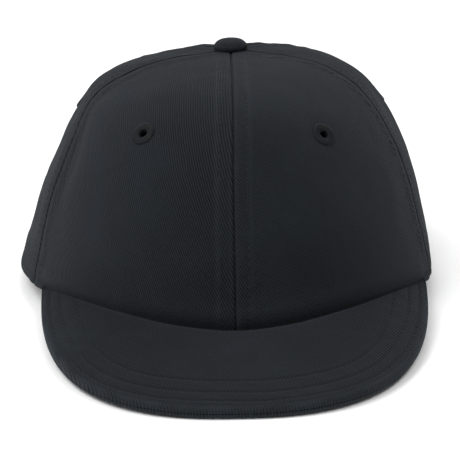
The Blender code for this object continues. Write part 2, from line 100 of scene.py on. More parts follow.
# Fasteners and trim
DOT_RADIUS = 9.0
DOTS = {"front_left": (33, 52), "front_right": (-33, 52), "rear_left": (150, 60), "rear_right": (-150, 60)}
EYELET_LEVEL = 0.428
EYELET_AZIMUTHS = {"front": 28.8, "side": 94.5, "back": 151.5}
EYELET_RADIUS, EYELET_HOLE_RADIUS, EYELET_PUNCH_RADIUS = 4.7, 1.7, 2.2
EYELET_RAISE, EYELET_THREADS = 0.6, 44
HIGH_EYELET, HIGH_EYELET_MOVE = ("front", -1), (0.4, 0.023)
BUTTON_RADIUS, BUTTON_HEIGHT, BUTTON_EDGE_HEIGHT, BUTTON_CAVITY = 7.0, 5.1, 1.75, 5.3

# Rear opening and its strap
ARCH_HALF_WIDTH, ARCH_HEIGHT, ARCH_EXPONENT, ARCH_CUT = 34.0, 38.0, 2.6, (60.0, 120.0)
STRAP_HEIGHTS, PATCH_HEIGHTS = (3.0, 23.0), (5.0, 21.0)
STRAP_MIDDLE, STRAP_WIDTH, STRAP_CORNER, STRAP_DEPTH = 13.0, 20.5, 5.5, (2.0, 2.85)
STRAP_ROOT, OUTER_STRAP_END, INNER_STRAP_END, STRAP_BEND = 44.0, 24.0, 22.0, (-31.0, -25.5)
# The strap is cut a little longer than its face, for its bend and its stitches
PATCH_END, PATCH_WIDTH, HOOK_PATCH_DEPTH, LOOP_PATCH_DEPTH = 19.0, 16.0, (-0.62, -0.36), (0.95, 1.45)

# Peak
PEAK_HALF_WIDTH, PEAK_CENTRE_FORWARD, PEAK_TIP_FORWARD, PEAK_EXPONENT = 77.8, 25.0, 161.9, 2.69
PEAK_END_AZIMUTH, PEAK_OUTLINE_START, PEAK_JOINT_GAP, PEAK_END_TUCK = 61.5, 9.0, 0.25, 1.1
PEAK_JOINT_HEIGHTS = ((0, 8.35), (12, 9.75), (25, 12.05), (38, 13.1), (50, 11.9), (62, 9.0))
PEAK_EDGE_HEIGHTS = ((0, 10.3), (22, 6.1), (45, 3.6), (68, 3.1), (90, 2.35))
PEAK_HALF_THICKNESS, PEAK_UNDER, PEAK_SPLIT = 2.3, 1.3, 0.12
PEAK_STITCH_ROWS, PEAK_STITCH_PITCH, PEAK_THREAD_RADIUS = (4.7, 10.7, 18.8), 3.1, 0.24
# The covers' rolled edge, and the strip beside their joint with the crown
PEAK_ROLL, PEAK_JOINT_STRIP = 1.7, 2.4
# How far past its last line the peak's covers close, as a share of half the peak
PEAK_END_ROLL = 0.013


# ---------------------------------------------------------------- camera, light and floor

CAMERA_ELEVATION, CAMERA_YAW, CAMERA_ROLL = 17.9, -0.44, -0.93
CAMERA_DISTANCE, CAMERA_LENS, TARGET_HEIGHT = 700.0, 126.0, 16.3
CAMERA_SHIFT = -0.0046


def heading(azimuth, elevation):
    """The direction from the cap towards an azimuth and an elevation, both in degrees."""
    turn, level = math.radians(azimuth), math.radians(elevation)
    return Vector((math.sin(turn) * math.cos(level), -math.cos(turn) * math.cos(level), math.sin(level)))


def add_camera():
    """The photograph's view: a long lens a little above the peak, turned and rolled very slightly."""
    data = bpy.data.cameras.new("camera")
    data.lens = CAMERA_LENS
    data.shift_x = CAMERA_SHIFT
    data.clip_end = 20.0
    camera = bpy.data.objects.new("camera", data)
    bpy.context.scene.collection.objects.link(camera)
    bpy.context.scene.camera = camera
    back = heading(CAMERA_YAW, CAMERA_ELEVATION)
    target = Vector((0, CROWN_AXIS_Y, TARGET_HEIGHT)) * MM
    turn = back.to_track_quat("Z", "Y").to_matrix().to_4x4()
    roll = Matrix.Rotation(math.radians(CAMERA_ROLL), 4, "Z")
    camera.matrix_world = Matrix.Translation(target + back * CAMERA_DISTANCE * MM) @ turn @ roll


# Soft lights round the cap: azimuth from the front towards +X, elevation, watts
STUDIO_LIGHTS = {
    "key_light": (-60, 60, 76.0), "left_light": (-75, 30, 46.0), "front_light": (0, 46, 43.0),
    "right_light": (60, 60, 42.0), "back_light": (180, 42, 53.0),
}
WORLD_STRENGTH = 0.34
# In metres
LIGHT_DISTANCE, LIGHT_SIZE, LIGHT_AIM_HEIGHT, FLOOR_REACH = 4.0, 2.13, 0.04, 6.0


def add_area_light(name, azimuth, elevation, power):
    """A round soft light that faces the cap."""
    data = bpy.data.lights.new(name, "AREA")
    data.energy, data.shape, data.size = power, "DISK", LIGHT_SIZE
    light = bpy.data.objects.new(name, data)
    outward = heading(azimuth, elevation)
    light.location = outward * LIGHT_DISTANCE + Vector((0, 0, LIGHT_AIM_HEIGHT))
    light.rotation_euler = outward.to_track_quat("Z", "Y").to_euler()
    bpy.context.scene.collection.objects.link(light)


def add_studio():
    """Soft lights on every side, an even world and a matt white floor."""
    for name, (azimuth, elevation, power) in STUDIO_LIGHTS.items():
        add_area_light(name, azimuth, elevation, power)
    world = bpy.data.worlds.new("studio")
    world.use_nodes = True
    bpy.context.scene.world = world
    background = world.node_tree.nodes["Background"]
    background.inputs["Color"].default_value = (1, 1, 1, 1)
    background.inputs["Strength"].default_value = WORLD_STRENGTH
    bpy.context.scene.view_settings.view_transform = "Standard"

    mesh = bpy.data.meshes.new("floor")
    corners = [(FLOOR_REACH * x, FLOOR_REACH * y, 0) for x, y in ((-1, -1), (1, -1), (1, 1), (-1, 1))]
    mesh.from_pydata(corners, [], [(0, 1, 2, 3)])
    floor = bpy.data.objects.new("floor", mesh)
    bpy.context.scene.collection.objects.link(floor)
    pale = Finish("studio_floor", roughness=0.95, specular=0.05)
    speck = pale.noise(pale.place("Object"), 3.0)
    pale.colour(speck, (0.93, 0.93, 0.93), (0.96, 0.96, 0.96))
    mesh.materials.append(pale.made)


# ---------------------------------------------------------------- materials

class Finish:
    """A Principled material, and short ways to build the nodes of its pattern."""

    def __init__(self, name, roughness, metallic=0.0, specular=0.3, sheen=0.0):
        self.made = bpy.data.materials.new(name)
        self.made.use_nodes = True
        self.tree = self.made.node_tree
        self.shader = self.tree.nodes["Principled BSDF"]
        values = {
            "Roughness": roughness, "Metallic": metallic, "Specular IOR Level": specular,
            "Sheen Weight": sheen, "Sheen Roughness": 0.45, "Sheen Tint": (0.82, 0.88, 1.0, 1.0),
        }
        for socket, value in values.items():
            self.shader.inputs[socket].default_value = value

    def join(self, value, socket):
        if isinstance(value, bpy.types.NodeSocket):
            self.tree.links.new(value, socket)
        else:
            socket.default_value = value

    def node(self, kind, output, inputs, **settings):
        """One output of a new node that has these inputs and settings."""
        made = self.tree.nodes.new(kind)
        for name, value in settings.items():
            setattr(made, name, value)
        for socket, value in inputs.items():
            self.join(value, made.inputs[socket])
        return made.outputs[output]

    def place(self, kind):
        """Object coordinates in metres, or the piece's own weave map in centimetres of cloth."""
        if kind == "Object":
            return self.node("ShaderNodeTexCoord", "Object", {})
        return self.node("ShaderNodeUVMap", "UV", {}, uv_map=kind)

    def math(self, operation, first, second=0.0):
        return self.node("ShaderNodeMath", 0, {0: first, 1: second}, operation=operation)

    def wave(self, place, direction, wobble=0.0):
        """A sine that repeats once along 1/direction, between -1 and 1."""
        turns = [math.tau * part for part in direction]
        phase = self.node("ShaderNodeVectorMath", "Value", {0: place, 1: turns}, operation="DOT_PRODUCT")
        return self.math("SINE", self.math("ADD", phase, wobble))

    def noise(self, place, scale, detail=2.0):
        return self.node("ShaderNodeTexNoise", "Fac", {"Vector": place, "Scale": scale, "Detail": detail})

    def grains(self, place, scale):
        """Distance from the nearest of scattered points."""
        return self.node("ShaderNodeTexVoronoi", "Distance", {"Vector": place, "Scale": scale})

    def attribute(self, name):
        return self.node("ShaderNodeAttribute", "Fac", {}, attribute_name=name)

    def ramp(self, value, low, high):
        """value carried linearly from low..high to 0..1, and held there."""
        return self.node("ShaderNodeMapRange", "Result", {"Value": value, "From Min": low, "From Max": high})

    def mix(self, factor, first, second):
        first, second = [(*part, 1.0) if isinstance(part, tuple) else part for part in (first, second)]
        values = {"Factor": factor, "A": first, "B": second}
        return self.node("ShaderNodeMix", "Result", values, data_type="RGBA")

    def colour(self, factor, first, second):
        self.join(self.mix(factor, first, second), self.shader.inputs["Base Color"])

    def rough(self, factor, low, high):
        value = self.node("ShaderNodeMapRange", "Result", {"Value": factor, "To Min": low, "To Max": high})
        self.join(value, self.shader.inputs["Roughness"])

    def bump(self, height, depth):
        """depth is in millimetres."""
        values = {"Strength": 1.0, "Distance": depth * MM, "Height": height}
        normal = self.node("ShaderNodeBump", "Normal", values)
        self.join(normal, self.shader.inputs["Normal"])


def weave_height(finish, weave, pitch, steep=(0.866, 0.5)):
    """Diagonal ribs of a twill, each broken up by the warp yarns that float over it."""
    drift = finish.math("MULTIPLY", finish.noise(weave, 1.3), 5.0)
    ribs = finish.wave(weave, [part / pitch for part in steep] + [0], drift)
    yarn = finish.wave(weave, (1 / (pitch * 0.48), 0, 0), drift)
    slubs = finish.math("MULTIPLY", finish.noise(weave, 14.0, 3.0), 1.2)
    height = finish.math("ADD", finish.math("MULTIPLY", ribs, 0.6), finish.math("MULTIPLY", yarn, 0.22))
    return finish.math("ADD", height, slubs)


def twill(name, valley, rib, pitch=0.094, depth=0.16):
    """Cotton twill: ribs, uneven dye, lint, and edges that are worn paler."""
    made = Finish(name, 0.9, specular=0.1, sheen=0.05)
    weave = made.place("Weave")
    height = weave_height(made, weave, pitch)
    cloth = made.mix(made.ramp(height, 0.18, 1.0), valley, rib)
    dye = made.ramp(made.noise(made.place("Object"), 38.0, 4.0), 0.3, 0.7)
    pale = tuple(1.35 * part + 0.002 for part in rib)
    cloth = made.mix(made.math("MULTIPLY", dye, 0.3), cloth, pale)
    worn = made.math("MULTIPLY", made.attribute("wear"), 0.55)
    cloth = made.mix(worn, cloth, tuple(2.1 * part + 0.004 for part in rib))
    lint = made.ramp(made.grains(weave, 5.5), 0.06, 0.03)
    made.colour(made.math("MULTIPLY", lint, 0.35), cloth, (0.06, 0.065, 0.07))
    made.rough(dye, 0.82, 0.97)
    made.bump(height, depth)
    return made.made


def thread(name, dark, light):
    """Twisted sewing thread: faint fuzz, and a fine uneven ply."""
    made = Finish(name, 0.65, specular=0.12, sheen=0.04)
    place = made.place("Object")
    fuzz = made.noise(place, 900.0, 2.0)
    made.colour(made.ramp(fuzz, 0.3, 0.7), dark, light)
    made.rough(fuzz, 0.45, 0.7)
    made.bump(made.noise(place, 2600.0, 1.0), 0.06)
    return made.made


def woven(name, dark, light, across=0.09, along=0.05, sheen=0.15):
    """Plain-woven tape: yarns both ways."""
    made = Finish(name, 0.85, specular=0.2, sheen=sheen)
    weave = made.place("Weave")
    warp = made.wave(weave, (1 / across, 0, 0))
    weft = made.wave(weave, (0, 1 / along, 0))
    height = made.math("ADD", made.math("MULTIPLY", warp, weft), made.noise(weave, 30.0))
    made.colour(made.ramp(height, -0.4, 1.4), dark, light)
    made.bump(height, 0.12)
    return made.made


def terry(name, dark, light):
    """Loops of towelling, in rows that wander."""
    made = Finish(name, 0.97, specular=0.1, sheen=0.5)
    place = made.place("Object")
    loops = made.grains(place, 1100.0)
    patches = made.noise(place, 60.0, 3.0)
    made.colour(made.ramp(loops, 0.0, 0.75), dark, light)
    made.bump(made.math("ADD", loops, patches), 0.55)
    return made.made


def moulded(name, dark, light, grain, roughness=0.4, depth=0.05):
    """Moulded plastic or foam skin: a fine even grain and faint flow marks."""
    made = Finish(name, roughness, specular=0.45)
    place = made.place("Object")
    fine = made.noise(place, grain, 2.0)
    flow = made.noise(place, 14.0, 3.0)
    made.colour(flow, dark, light)
    made.rough(fine, roughness - 0.07, roughness + 0.14)
    made.bump(fine, depth)
    return made.made


def steel(name):
    """Turned steel, with fine scratches."""
    made = Finish(name, 0.34, metallic=1.0)
    place = made.place("Object")
    turned = made.noise(place, 1500.0, 3.0)
    made.colour(made.ramp(turned, 0.35, 0.65), (0.46, 0.46, 0.47), (0.62, 0.62, 0.63))
    made.rough(turned, 0.25, 0.45)
    made.bump(turned, 0.02)
    return made.made


# ---------------------------------------------------------------- the crown's surface

def smooth(low, high, value):
    """0 below low and 1 above high, with an easy rise between them."""
    t = np.clip((value - low) / (high - low), 0, 1)
    return t * t * (3 - 2 * t)


def bell(value, centre, width):
    """1 at the centre, falling away on both sides over about the width."""
    return np.exp(-(((value - centre) / width) ** 2))


def interpolate(table, x):
    """A smooth curve through the table's points, level outside them and where it turns back."""
    xs, ys = np.array(table, float).T
    slope = np.zeros(len(xs))
    turns_back = (ys[1:-1] - ys[:-2]) * (ys[2:] - ys[1:-1]) <= 0
    slope[1:-1] = np.where(turns_back, 0, (ys[2:] - ys[:-2]) / (xs[2:] - xs[:-2]))
    x = np.clip(x, xs[0], xs[-1])
    k = np.clip(np.searchsorted(xs, x, side="right") - 1, 0, len(xs) - 2)
    span = xs[k + 1] - xs[k]
    t = (x - xs[k]) / span
    return (
        ys[k] * (1 + 2 * t) * (1 - t) ** 2
        + slope[k] * span * t * (1 - t) ** 2
        + ys[k + 1] * t * t * (3 - 2 * t)
        - slope[k + 1] * span * t * t * (1 - t)
    )


def round_turns(count):
    """Angles evenly round a circle, in radians."""
    return np.linspace(0, math.tau, count, endpoint=False)


def facing(axis):
    """A matrix whose Z lies along the axis."""
    return np.array(Vector(axis).to_track_quat("Z", "Y").to_matrix())


def signed_power(value, exponent):
    """A power of the size that keeps the sign."""
    return np.sign(value) * np.abs(value) ** exponent


def rim_height(azimuth):
    """Height of the crown's rim, the same on both sides."""
    return interpolate(RIM_HEIGHTS, np.abs((np.asarray(azimuth, float) + 180) % 360 - 180))


def rim_outline(azimuth):
    """(x, forward) of the rim's oval."""
    angle = np.radians(azimuth)
    power = 2 / RIM_EXPONENT
    return HALF_WIDTH * signed_power(np.sin(angle), power), HALF_LENGTH * signed_power(np.cos(angle), power)


def azimuth_at_x(x):
    """The azimuth at which the back of the rim's oval has this x, from 90 to 270 through 180."""
    angle = np.degrees(np.arcsin(np.minimum(1, (np.abs(x) / HALF_WIDTH) ** (RIM_EXPONENT / 2))))
    return 180 - np.sign(x) * angle


def profile(azimuth):
    """Squareness, lean and lateness of the meridian at each azimuth."""
    along = np.cos(np.radians(azimuth))[..., None]
    end = np.where(along > 0, FRONT_PROFILE, BACK_PROFILE)
    side = np.array(SIDE_PROFILE)
    return np.moveaxis(side + (end - side) * along**2, -1, 0)


def crown_point(azimuth, level):
    """A point on the crown's surface, as in the CAD."""
    azimuth, level = np.broadcast_arrays(np.asarray(azimuth, float), np.asarray(level, float))
    square, lean, late = profile(azimuth)
    turn = np.clip(level, 0, 1) * np.pi / 2
    up = np.sin(turn) ** (2 / square)
    scale = np.maximum(np.cos(turn), 0) ** (2 / square) * (1 - lean * up**late)
    x, forward = rim_outline(azimuth)
    low = rim_height(azimuth)
    return np.stack([x * scale, -forward * scale, low + (APEX_HEIGHT - low) * up], -1)


def unit(vectors):
    """The vectors at a length of 1."""
    return vectors / np.linalg.norm(vectors, axis=-1, keepdims=True)


def crown_normal(azimuth, level):
    """The outward direction from the crown's surface."""
    level = np.clip(level, 0.002, 0.985)
    across = crown_point(azimuth + 0.5, level) - crown_point(azimuth - 0.5, level)
    upward = crown_point(azimuth, level + 0.002) - crown_point(azimuth, level - 0.002)
    return unit(np.cross(across, upward))


def settle(points):
    """The soft cloth as it hangs.

    Its lower sides lean to -X, and the rim at +X is a little higher. Near the top it is fuller at +X,
    and the seam at -66 degrees is turned round the axis.
    """
    x, y, z = np.moveaxis(points, -1, 0)
    azimuth = np.degrees(np.arctan2(x / HALF_WIDTH, -y / HALF_LENGTH))
    round_it = np.abs(azimuth)
    side = smooth(57, 82, round_it) * (1 - smooth(105, 140, round_it))
    lean = -SIDE_LEAN * np.clip(1 - z / 54, 0, 1) * side
    corner = CORNER_LIFT * np.clip(1 - z / 30, 0, 1) * side * (x > 0)
    top = smooth(60, 93, z)
    turn = -np.radians(SEAM_TURN) * bell(azimuth, -66, 24) * bell(z, 84, 12)
    x, y = x * np.cos(turn) - y * np.sin(turn), y * np.cos(turn) + x * np.sin(turn)
    return np.stack([x + lean + 0.6 * top, y, z + corner + 0.3 * np.tanh(x / 24) * top], -1)


def layer_point(azimuth, level, depth):
    """A point this deep under the crown. Near the rim it lies level with the surface's own point."""
    azimuth, level = np.broadcast_arrays(np.asarray(azimuth, float), np.asarray(level, float))
    point = crown_point(azimuth, level)
    normal = crown_normal(azimuth, level)
    share = smooth(0, LEVEL_RIM_HEIGHT, point[..., 2] - rim_height(azimuth))
    outward = unit(normal * np.stack([np.ones_like(share), np.ones_like(share), share], -1))
    reach = np.asarray(depth) / (outward * normal).sum(-1)
    return point - outward * reach[..., None]


def cloth_point(azimuth, level, depth):
    """A point this deep under the crown, on cloth that has settled."""
    return settle(layer_point(azimuth, level, depth))


def level_at_height(azimuth, height):
    """The level of the crown's surface at this height."""
    low = rim_height(azimuth)
    up = np.clip((height - low) / (APEX_HEIGHT - low), 0, 1)
    return np.arcsin(up ** (profile(np.asarray(azimuth, float))[0] / 2)) * 2 / np.pi


def radius_at(azimuth, level):
    """Distance of the crown's surface from its axis."""
    return np.linalg.norm(crown_point(azimuth, level)[..., :2], axis=-1)


def level_at_radius(azimuth, radius):
    """The level at which the crown has narrowed to this radius, by halving."""
    azimuth = np.asarray(azimuth, float)
    low, high = np.zeros_like(azimuth), np.ones_like(azimuth)
    for _ in range(40):
        middle = (low + high) / 2
        outside = radius_at(azimuth, middle) > radius
        low, high = np.where(outside, middle, low), np.where(outside, high, middle)
    return low


def sideways(azimuth, level, distance):
    """The azimuth this distance further round."""
    return azimuth + np.degrees(distance / radius_at(azimuth, level))


def even_levels(azimuth, low, high, shares):
    """Levels between two others that are evenly spaced along the meridian rather than bunched."""
    square = profile(np.asarray(azimuth, float))[0]

    def bend(level):
        return np.arctan(np.tan(np.clip(level, 0, 0.9999) * np.pi / 2) ** (2 / square))

    start, end = bend(low), bend(high)
    return np.arctan(np.tan(start + (end - start) * shares) ** (square / 2)) * 2 / np.pi


def ripple(points, wavelength, seed):
    """Smooth noise, mostly between -1 and 1: a sum of waves in seeded directions."""
    generator = np.random.default_rng(seed)
    ways = unit(generator.normal(size=(14, 3)))
    rates = generator.uniform(0.65, 1.5, 14) * math.tau / wavelength
    phases = generator.uniform(0, math.tau, 14)
    return np.cos(points @ (ways * rates[:, None]).T + phases).sum(-1) / 14 * 2.4


def seam_distance(azimuth, level):
    """Distance round the crown from the nearest seam."""
    apart = np.min([np.abs(azimuth - seam) for seam in SEAMS], axis=0)
    return np.radians(apart) * radius_at(azimuth, level)


def drape(x, y, z, azimuth):
    """Broad swells and hollows of the soft crown: a crest behind the button, and uneven shoulders.

    Each is a height in millimetres, at a place and with a width in millimetres or degrees.
    """
    behind = bell(y, 15, 15)
    crest = behind * (1.5 * bell(x, 1, 13) - 0.8 * bell(x, 26, 12) - 1.3 * bell(x, -27, 12))
    left = 2.0 * bell(z, 84, 7) - 1.1 * bell(z, 60, 14)
    right = 0.9 * bell(z, 86, 7) - 0.7 * bell(z, 56, 14)
    return crest * smooth(80, 92, z) + bell(azimuth, -92, 28) * left + bell(azimuth, 92, 28) * right


def eyelet_place(place, sign):
    """An eyelet's azimuth and level. Drape carries one of the front ones a little higher."""
    turn, climb = HIGH_EYELET_MOVE if (place, sign) == HIGH_EYELET else (0.0, 0.0)
    return sign * EYELET_AZIMUTHS[place] + turn, EYELET_LEVEL + climb


def eyelet_calm(azimuth, level):
    """0 round each eyelet, where the embroidery holds the cloth flat, and 1 away from it."""
    point = crown_point(azimuth, level)
    calm = np.ones(point.shape[:-1])
    for place in EYELET_AZIMUTHS:
        for sign in (1, -1):
            apart = np.linalg.norm(point - crown_point(*eyelet_place(place, sign)), axis=-1)
            calm = calm * smooth(4.6, 9.5, apart)
    return calm


def cloth_relief(azimuth, level):
    """How far the twill stands proud of the crown's surface: felled seams, puckers, hem and soft dents.

    Heights and widths are millimetres, and places are millimetres or degrees.
    """
    point = crown_point(azimuth, level)
    x, y, z = np.moveaxis(point, -1, 0)
    apart = seam_distance(azimuth, level)
    top = 1 - smooth(6, 22, radius_at(azimuth, level))
    felled = 0.42 * (1 - smooth(ALLOWANCE + 0.3, ALLOWANCE + 1.9, apart)) * (1 - 0.6 * top)
    rolled = -1.05 * bell(apart, 0, 0.42) - 0.16 * bell(apart, 0, 1.3)
    sewn = -0.24 * bell(apart, ALLOWANCE, 0.5)
    pucker = 0.16 * ripple(point, 7, 3) * bell(apart, ALLOWANCE, 4.2) * (1 - top)
    behind = smooth(50, 90, np.abs(azimuth))
    soft = (0.28 + 0.4 * behind) * ripple(point, 46, 5) + (0.1 + 0.12 * behind) * ripple(point, 15, 8)
    rise = z - rim_height(azimuth)
    hem = -(1.15 - np.sqrt(np.maximum(1.15**2 - np.clip(1.15 - rise, 0, 1.15) ** 2, 0)))
    hem = hem - 0.25 * bell(rise, HEM_STITCH_HEIGHT, 0.7) * smooth(62, 68, np.abs(azimuth))
    hem = hem + 0.35 * (1 - smooth(8, 12, rise))
    joint = smooth(64, 58, np.abs(azimuth)) * (0.7 * bell(rise, 8.5, 4.5) - 0.8 * bell(rise, 2.5, 2.2))
    dent = -1.3 * bell(azimuth, -60.5, 4.5) * bell(z, 60, 17) + 0.7 * bell(azimuth, -71, 5) * bell(z, 52, 20)
    broad = drape(x, y, z, azimuth)
    soft = soft * (1 - top) * smooth(0, 14, rise) * eyelet_calm(azimuth, level)
    return felled + rolled + sewn + pucker + soft + hem + joint + dent + broad


# ---------------------------------------------------------------- meshes

def add_piece(name, points, faces, finish, body="cap", weave=None, wear=None, sharp=55):
    """A mesh piece from points about the crown's axis, riding on its body. weave is cloth in millimetres."""
    points = np.asarray(points, float).reshape(-1, 3)
    mesh = bpy.data.meshes.new(name)
    mesh.from_pydata(((points + (0, CROWN_AXIS_Y, 0)) * MM).tolist(), [], [list(f) for f in faces])
    made = bmesh.new()
    made.from_mesh(mesh)
    bmesh.ops.recalc_face_normals(made, faces=made.faces)
    if made.calc_volume(signed=True) < 0:
        bmesh.ops.reverse_faces(made, faces=made.faces)
    made.to_mesh(mesh)
    made.free()
    mesh.materials.append(finish)
    mesh.shade_smooth()
    mesh.set_sharp_from_angle(angle=math.radians(sharp))
    if weave is None:
        weave = points[:, :2]
    corners = np.zeros(len(mesh.loops), np.int32)
    mesh.loops.foreach_get("vertex_index", corners)
    layer = mesh.uv_layers.new(name="Weave")
    layer.data.foreach_set("uv", (np.asarray(weave, float).reshape(-1, 2)[corners] * 0.1).ravel())
    worn = mesh.attributes.new("wear", "FLOAT", "POINT")
    shown = np.zeros(len(points)) if wear is None else np.asarray(wear, float).ravel()
    worn.data.foreach_set("value", shown.astype(np.float32))
    piece = bpy.data.objects.new(name, mesh)
    bpy.context.scene.collection.objects.link(piece)
    if body:
        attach(piece, body)
    return piece


def grid_faces(columns, rows, around=False, closed=False):
    """Quads of a grid in columns. around joins the last column to the first, closed each column's ends."""
    i, j = np.meshgrid(np.arange(columns - (not around)), np.arange(rows - (not closed)), indexing="ij")
    right, above = (i + 1) % columns, (j + 1) % rows
    quads = [i * rows + j, right * rows + j, right * rows + above, i * rows + above]
    return np.stack(quads, -1).reshape(-1, 4)


def plate(name, outer, inner, finish, body="cap", weave=None, wear=None, around=False):
    """A thin piece between two grids of points in columns."""
    columns, rows = outer.shape[:2]
    count = columns * rows
    skin = grid_faces(columns, rows, around)
    sides = [np.arange(columns) * rows, np.arange(columns) * rows + rows - 1]
    if not around:
        sides += [np.arange(rows), (columns - 1) * rows + np.arange(rows)]
    rims = []
    for side in sides:
        ahead = np.roll(side, -1) if around else side[1:]
        here = side if around else side[:-1]
        rims.append(np.stack([here, ahead, ahead + count, here + count], -1))
    faces = np.concatenate([skin, skin[:, ::-1] + count, *rims])
    points = np.concatenate([outer.reshape(-1, 3), inner.reshape(-1, 3)])
    if weave is not None:
        weave = np.concatenate([weave.reshape(-1, 2)] * 2)
    if wear is not None:
        wear = np.concatenate([wear.ravel(), np.zeros(count)])
    return add_piece(name, points, faces, finish, body, weave, wear)


def sweep(name, sections, finish, body="cap", weave=None, wear=None, around=False, sharp=55):
    """A solid through closed sections. It is capped at both ends, or goes around."""
    count, size = sections.shape[:2]
    faces = grid_faces(count, size, around, closed=True).tolist()
    if not around:
        faces += [list(range(size)), list(range((count - 1) * size, count * size))[::-1]]
    return add_piece(name, sections, faces, finish, body, weave, wear, sharp)


def lengths_along(points):
    """Distance along a path of points, from its start."""
    steps = np.linalg.norm(np.diff(points, axis=0), axis=-1)
    return np.concatenate([[0], np.cumsum(steps)])


def resample(path, values, distances):
    """Each column of values, read at distances along the path."""
    along = lengths_along(path)
    return np.stack([np.interp(distances, along, column) for column in values.T], -1)


def stitches(name, rows, finish, body="cap", pitch=STITCH_PITCH, radius=THREAD_RADIUS, seed=1):
    """Stitches along rows, each (path, outward normals). Each rises from one hole and dips at the next."""
    sides, rings = 6, 2 * np.linspace(0, 1, 7) - 1
    angle = math.tau * np.arange(sides) / sides
    tube_faces, size = grid_faces(len(rings), sides, closed=True), len(rings) * sides
    generator = np.random.default_rng(seed)
    points, faces, weave, used = [], [], [], 0
    for path, outward in rows:
        total = lengths_along(path)[-1]
        count = max(int(total / pitch), 1)
        start = (np.arange(count) + 0.5 + generator.uniform(-0.05, 0.05, count)) * total / count
        reach = total / count * generator.uniform(*STITCH_REACH, count)
        along = (start[:, None] + reach[:, None] * rings).ravel()
        centre = resample(path, path, along)
        up = unit(resample(path, outward, along))
        ahead = unit(resample(path, path, along + 0.3) - resample(path, path, along - 0.3) + 1e-9)
        across = unit(np.cross(up, ahead))
        arch = np.tile(1 - rings**4, count)
        slant = np.tile(0.1 * rings, count)
        centre = centre + up * (radius * (1.8 * arch - 1.4))[:, None] + across * slant[:, None]
        thick = radius * np.tile(0.72 + 0.28 * (1 - rings**2), count)
        ring = across[:, None] * np.cos(angle)[:, None] + up[:, None] * np.sin(angle)[:, None]
        tube = centre[:, None] + ring * thick[:, None, None]
        shifts = used + size * np.arange(count)
        faces += (tube_faces[None] + shifts[:, None, None]).reshape(-1, 4).tolist()
        for shift in shifts.tolist():
            faces.append([shift + k for k in range(sides)])
            faces.append([shift + size - 1 - k for k in range(sides)])
        points.append(tube.reshape(-1, 3))
        flat = np.broadcast_to(angle * radius, (len(along), sides))
        weave.append(np.stack([flat, np.broadcast_to(along[:, None], flat.shape)], -1).reshape(-1, 2))
        used += size * count
    piece = add_piece(name, np.concatenate(points), faces, finish, body, np.concatenate(weave), sharp=180)
    return piece


def apply_cut(piece, cutter):
    """Cuts a piece and removes the cutter."""
    cut = piece.modifiers.new("cut", "BOOLEAN")
    cut.operation, cut.solver, cut.object = "DIFFERENCE", "MANIFOLD", cutter
    bpy.context.view_layer.update()
    result = bpy.data.meshes.new_from_object(piece.evaluated_get(bpy.context.evaluated_depsgraph_get()))
    piece.modifiers.remove(cut)
    piece.data = result
    bpy.data.objects.remove(cutter)


def eyelet_punch(centre, axis, finish):
    """A cylinder across the crown, to cut an eyelet's hole with."""
    angle = round_turns(24)
    ring = EYELET_PUNCH_RADIUS * np.stack([np.cos(angle), np.sin(angle), 0 * angle], -1)
    ends = np.stack([centre + (ring + (0, 0, height)) @ facing(axis).T for height in (-5, 4)])
    return sweep("eyelet_punch", ends, finish, body=None)


# ---------------------------------------------------------------- fabric crown

def clustered(steps):
    """Shares from 0 to 1, closer together at both ends."""
    return (1 - np.cos(np.pi * np.arange(steps + 1) / steps)) / 2


def arch_cutter(finish):
    """The rear opening as an upright prism through the back of the crown."""
    power = 2 / ARCH_EXPONENT
    turns = np.linspace(0, np.pi, 61)
    x = ARCH_HALF_WIDTH * signed_power(np.cos(turns), power)
    z = ARCH_HEIGHT * np.sin(turns) ** power
    outline = np.concatenate([np.stack([x, z], -1), [[-ARCH_HALF_WIDTH, -5], [ARCH_HALF_WIDTH, -5]]])
    ends = np.stack([np.insert(outline, 1, y, axis=1) for y in ARCH_CUT])
    return sweep("arch_cutter", ends, finish, body=None)


def make_panels(finish):
    """Six panels of twill, their edges meeting at the seams."""
    rows = np.concatenate([np.linspace(0, 0.05, 13), np.linspace(0.05, 1, 122)[1:]])
    names = {"front": (0.0, 66.0), "side": (66.0, 123.0), "back": (123.0, 180.0)}
    for place, (near, far) in names.items():
        for side, sign in (("left", 1), ("right", -1)):
            low, high = sorted((sign * near, sign * far))
            columns = (low + (high - low) * clustered(84))[:, None]
            levels = even_levels(columns, 0 * columns, level_at_radius(columns, TOP_HOLE_RADIUS), rows[None])
            inset = np.where(columns == low, 0.04, np.where(columns == high, -0.04, 0))
            azimuth = sideways(columns + 0 * levels, levels, inset)
            relief = cloth_relief(azimuth, levels)
            outer, inner = cloth_point(azimuth, levels, -relief), cloth_point(azimuth, levels, TWILL)
            middle = crown_point((low + high) / 2, levels[len(levels) // 2])
            climb = lengths_along(middle)[None] + 0 * levels
            across = np.radians(azimuth - (low + high) / 2) * radius_at(azimuth, levels)
            apart = seam_distance(azimuth, levels)
            wear = 0.35 * bell(apart, 1.0, 0.6) * (0.6 + 0.4 * ripple(outer, 11, 21))
            wear = wear + 0.25 * bell(apart, 6.2, 0.8)
            panel = plate(
                f"{place}_panel_{side}", outer, inner, finish, "cap",
                np.stack([across, climb], -1), np.clip(wear, 0, 1),
            )
            eyelet = eyelet_place(place, sign)
            apply_cut(panel, eyelet_punch(cloth_point(*eyelet, 0), crown_normal(*eyelet), finish))
            if place == "back":
                apply_cut(panel, arch_cutter(finish))
            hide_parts(f"{place}_panel_{side}")


SEAM_TAPES = (
    ("front", 0.0), ("front_left", 66.0), ("front_right", -66.0),
    ("rear_left", 123.0), ("rear_right", -123.0), ("rear", 180.0),
)


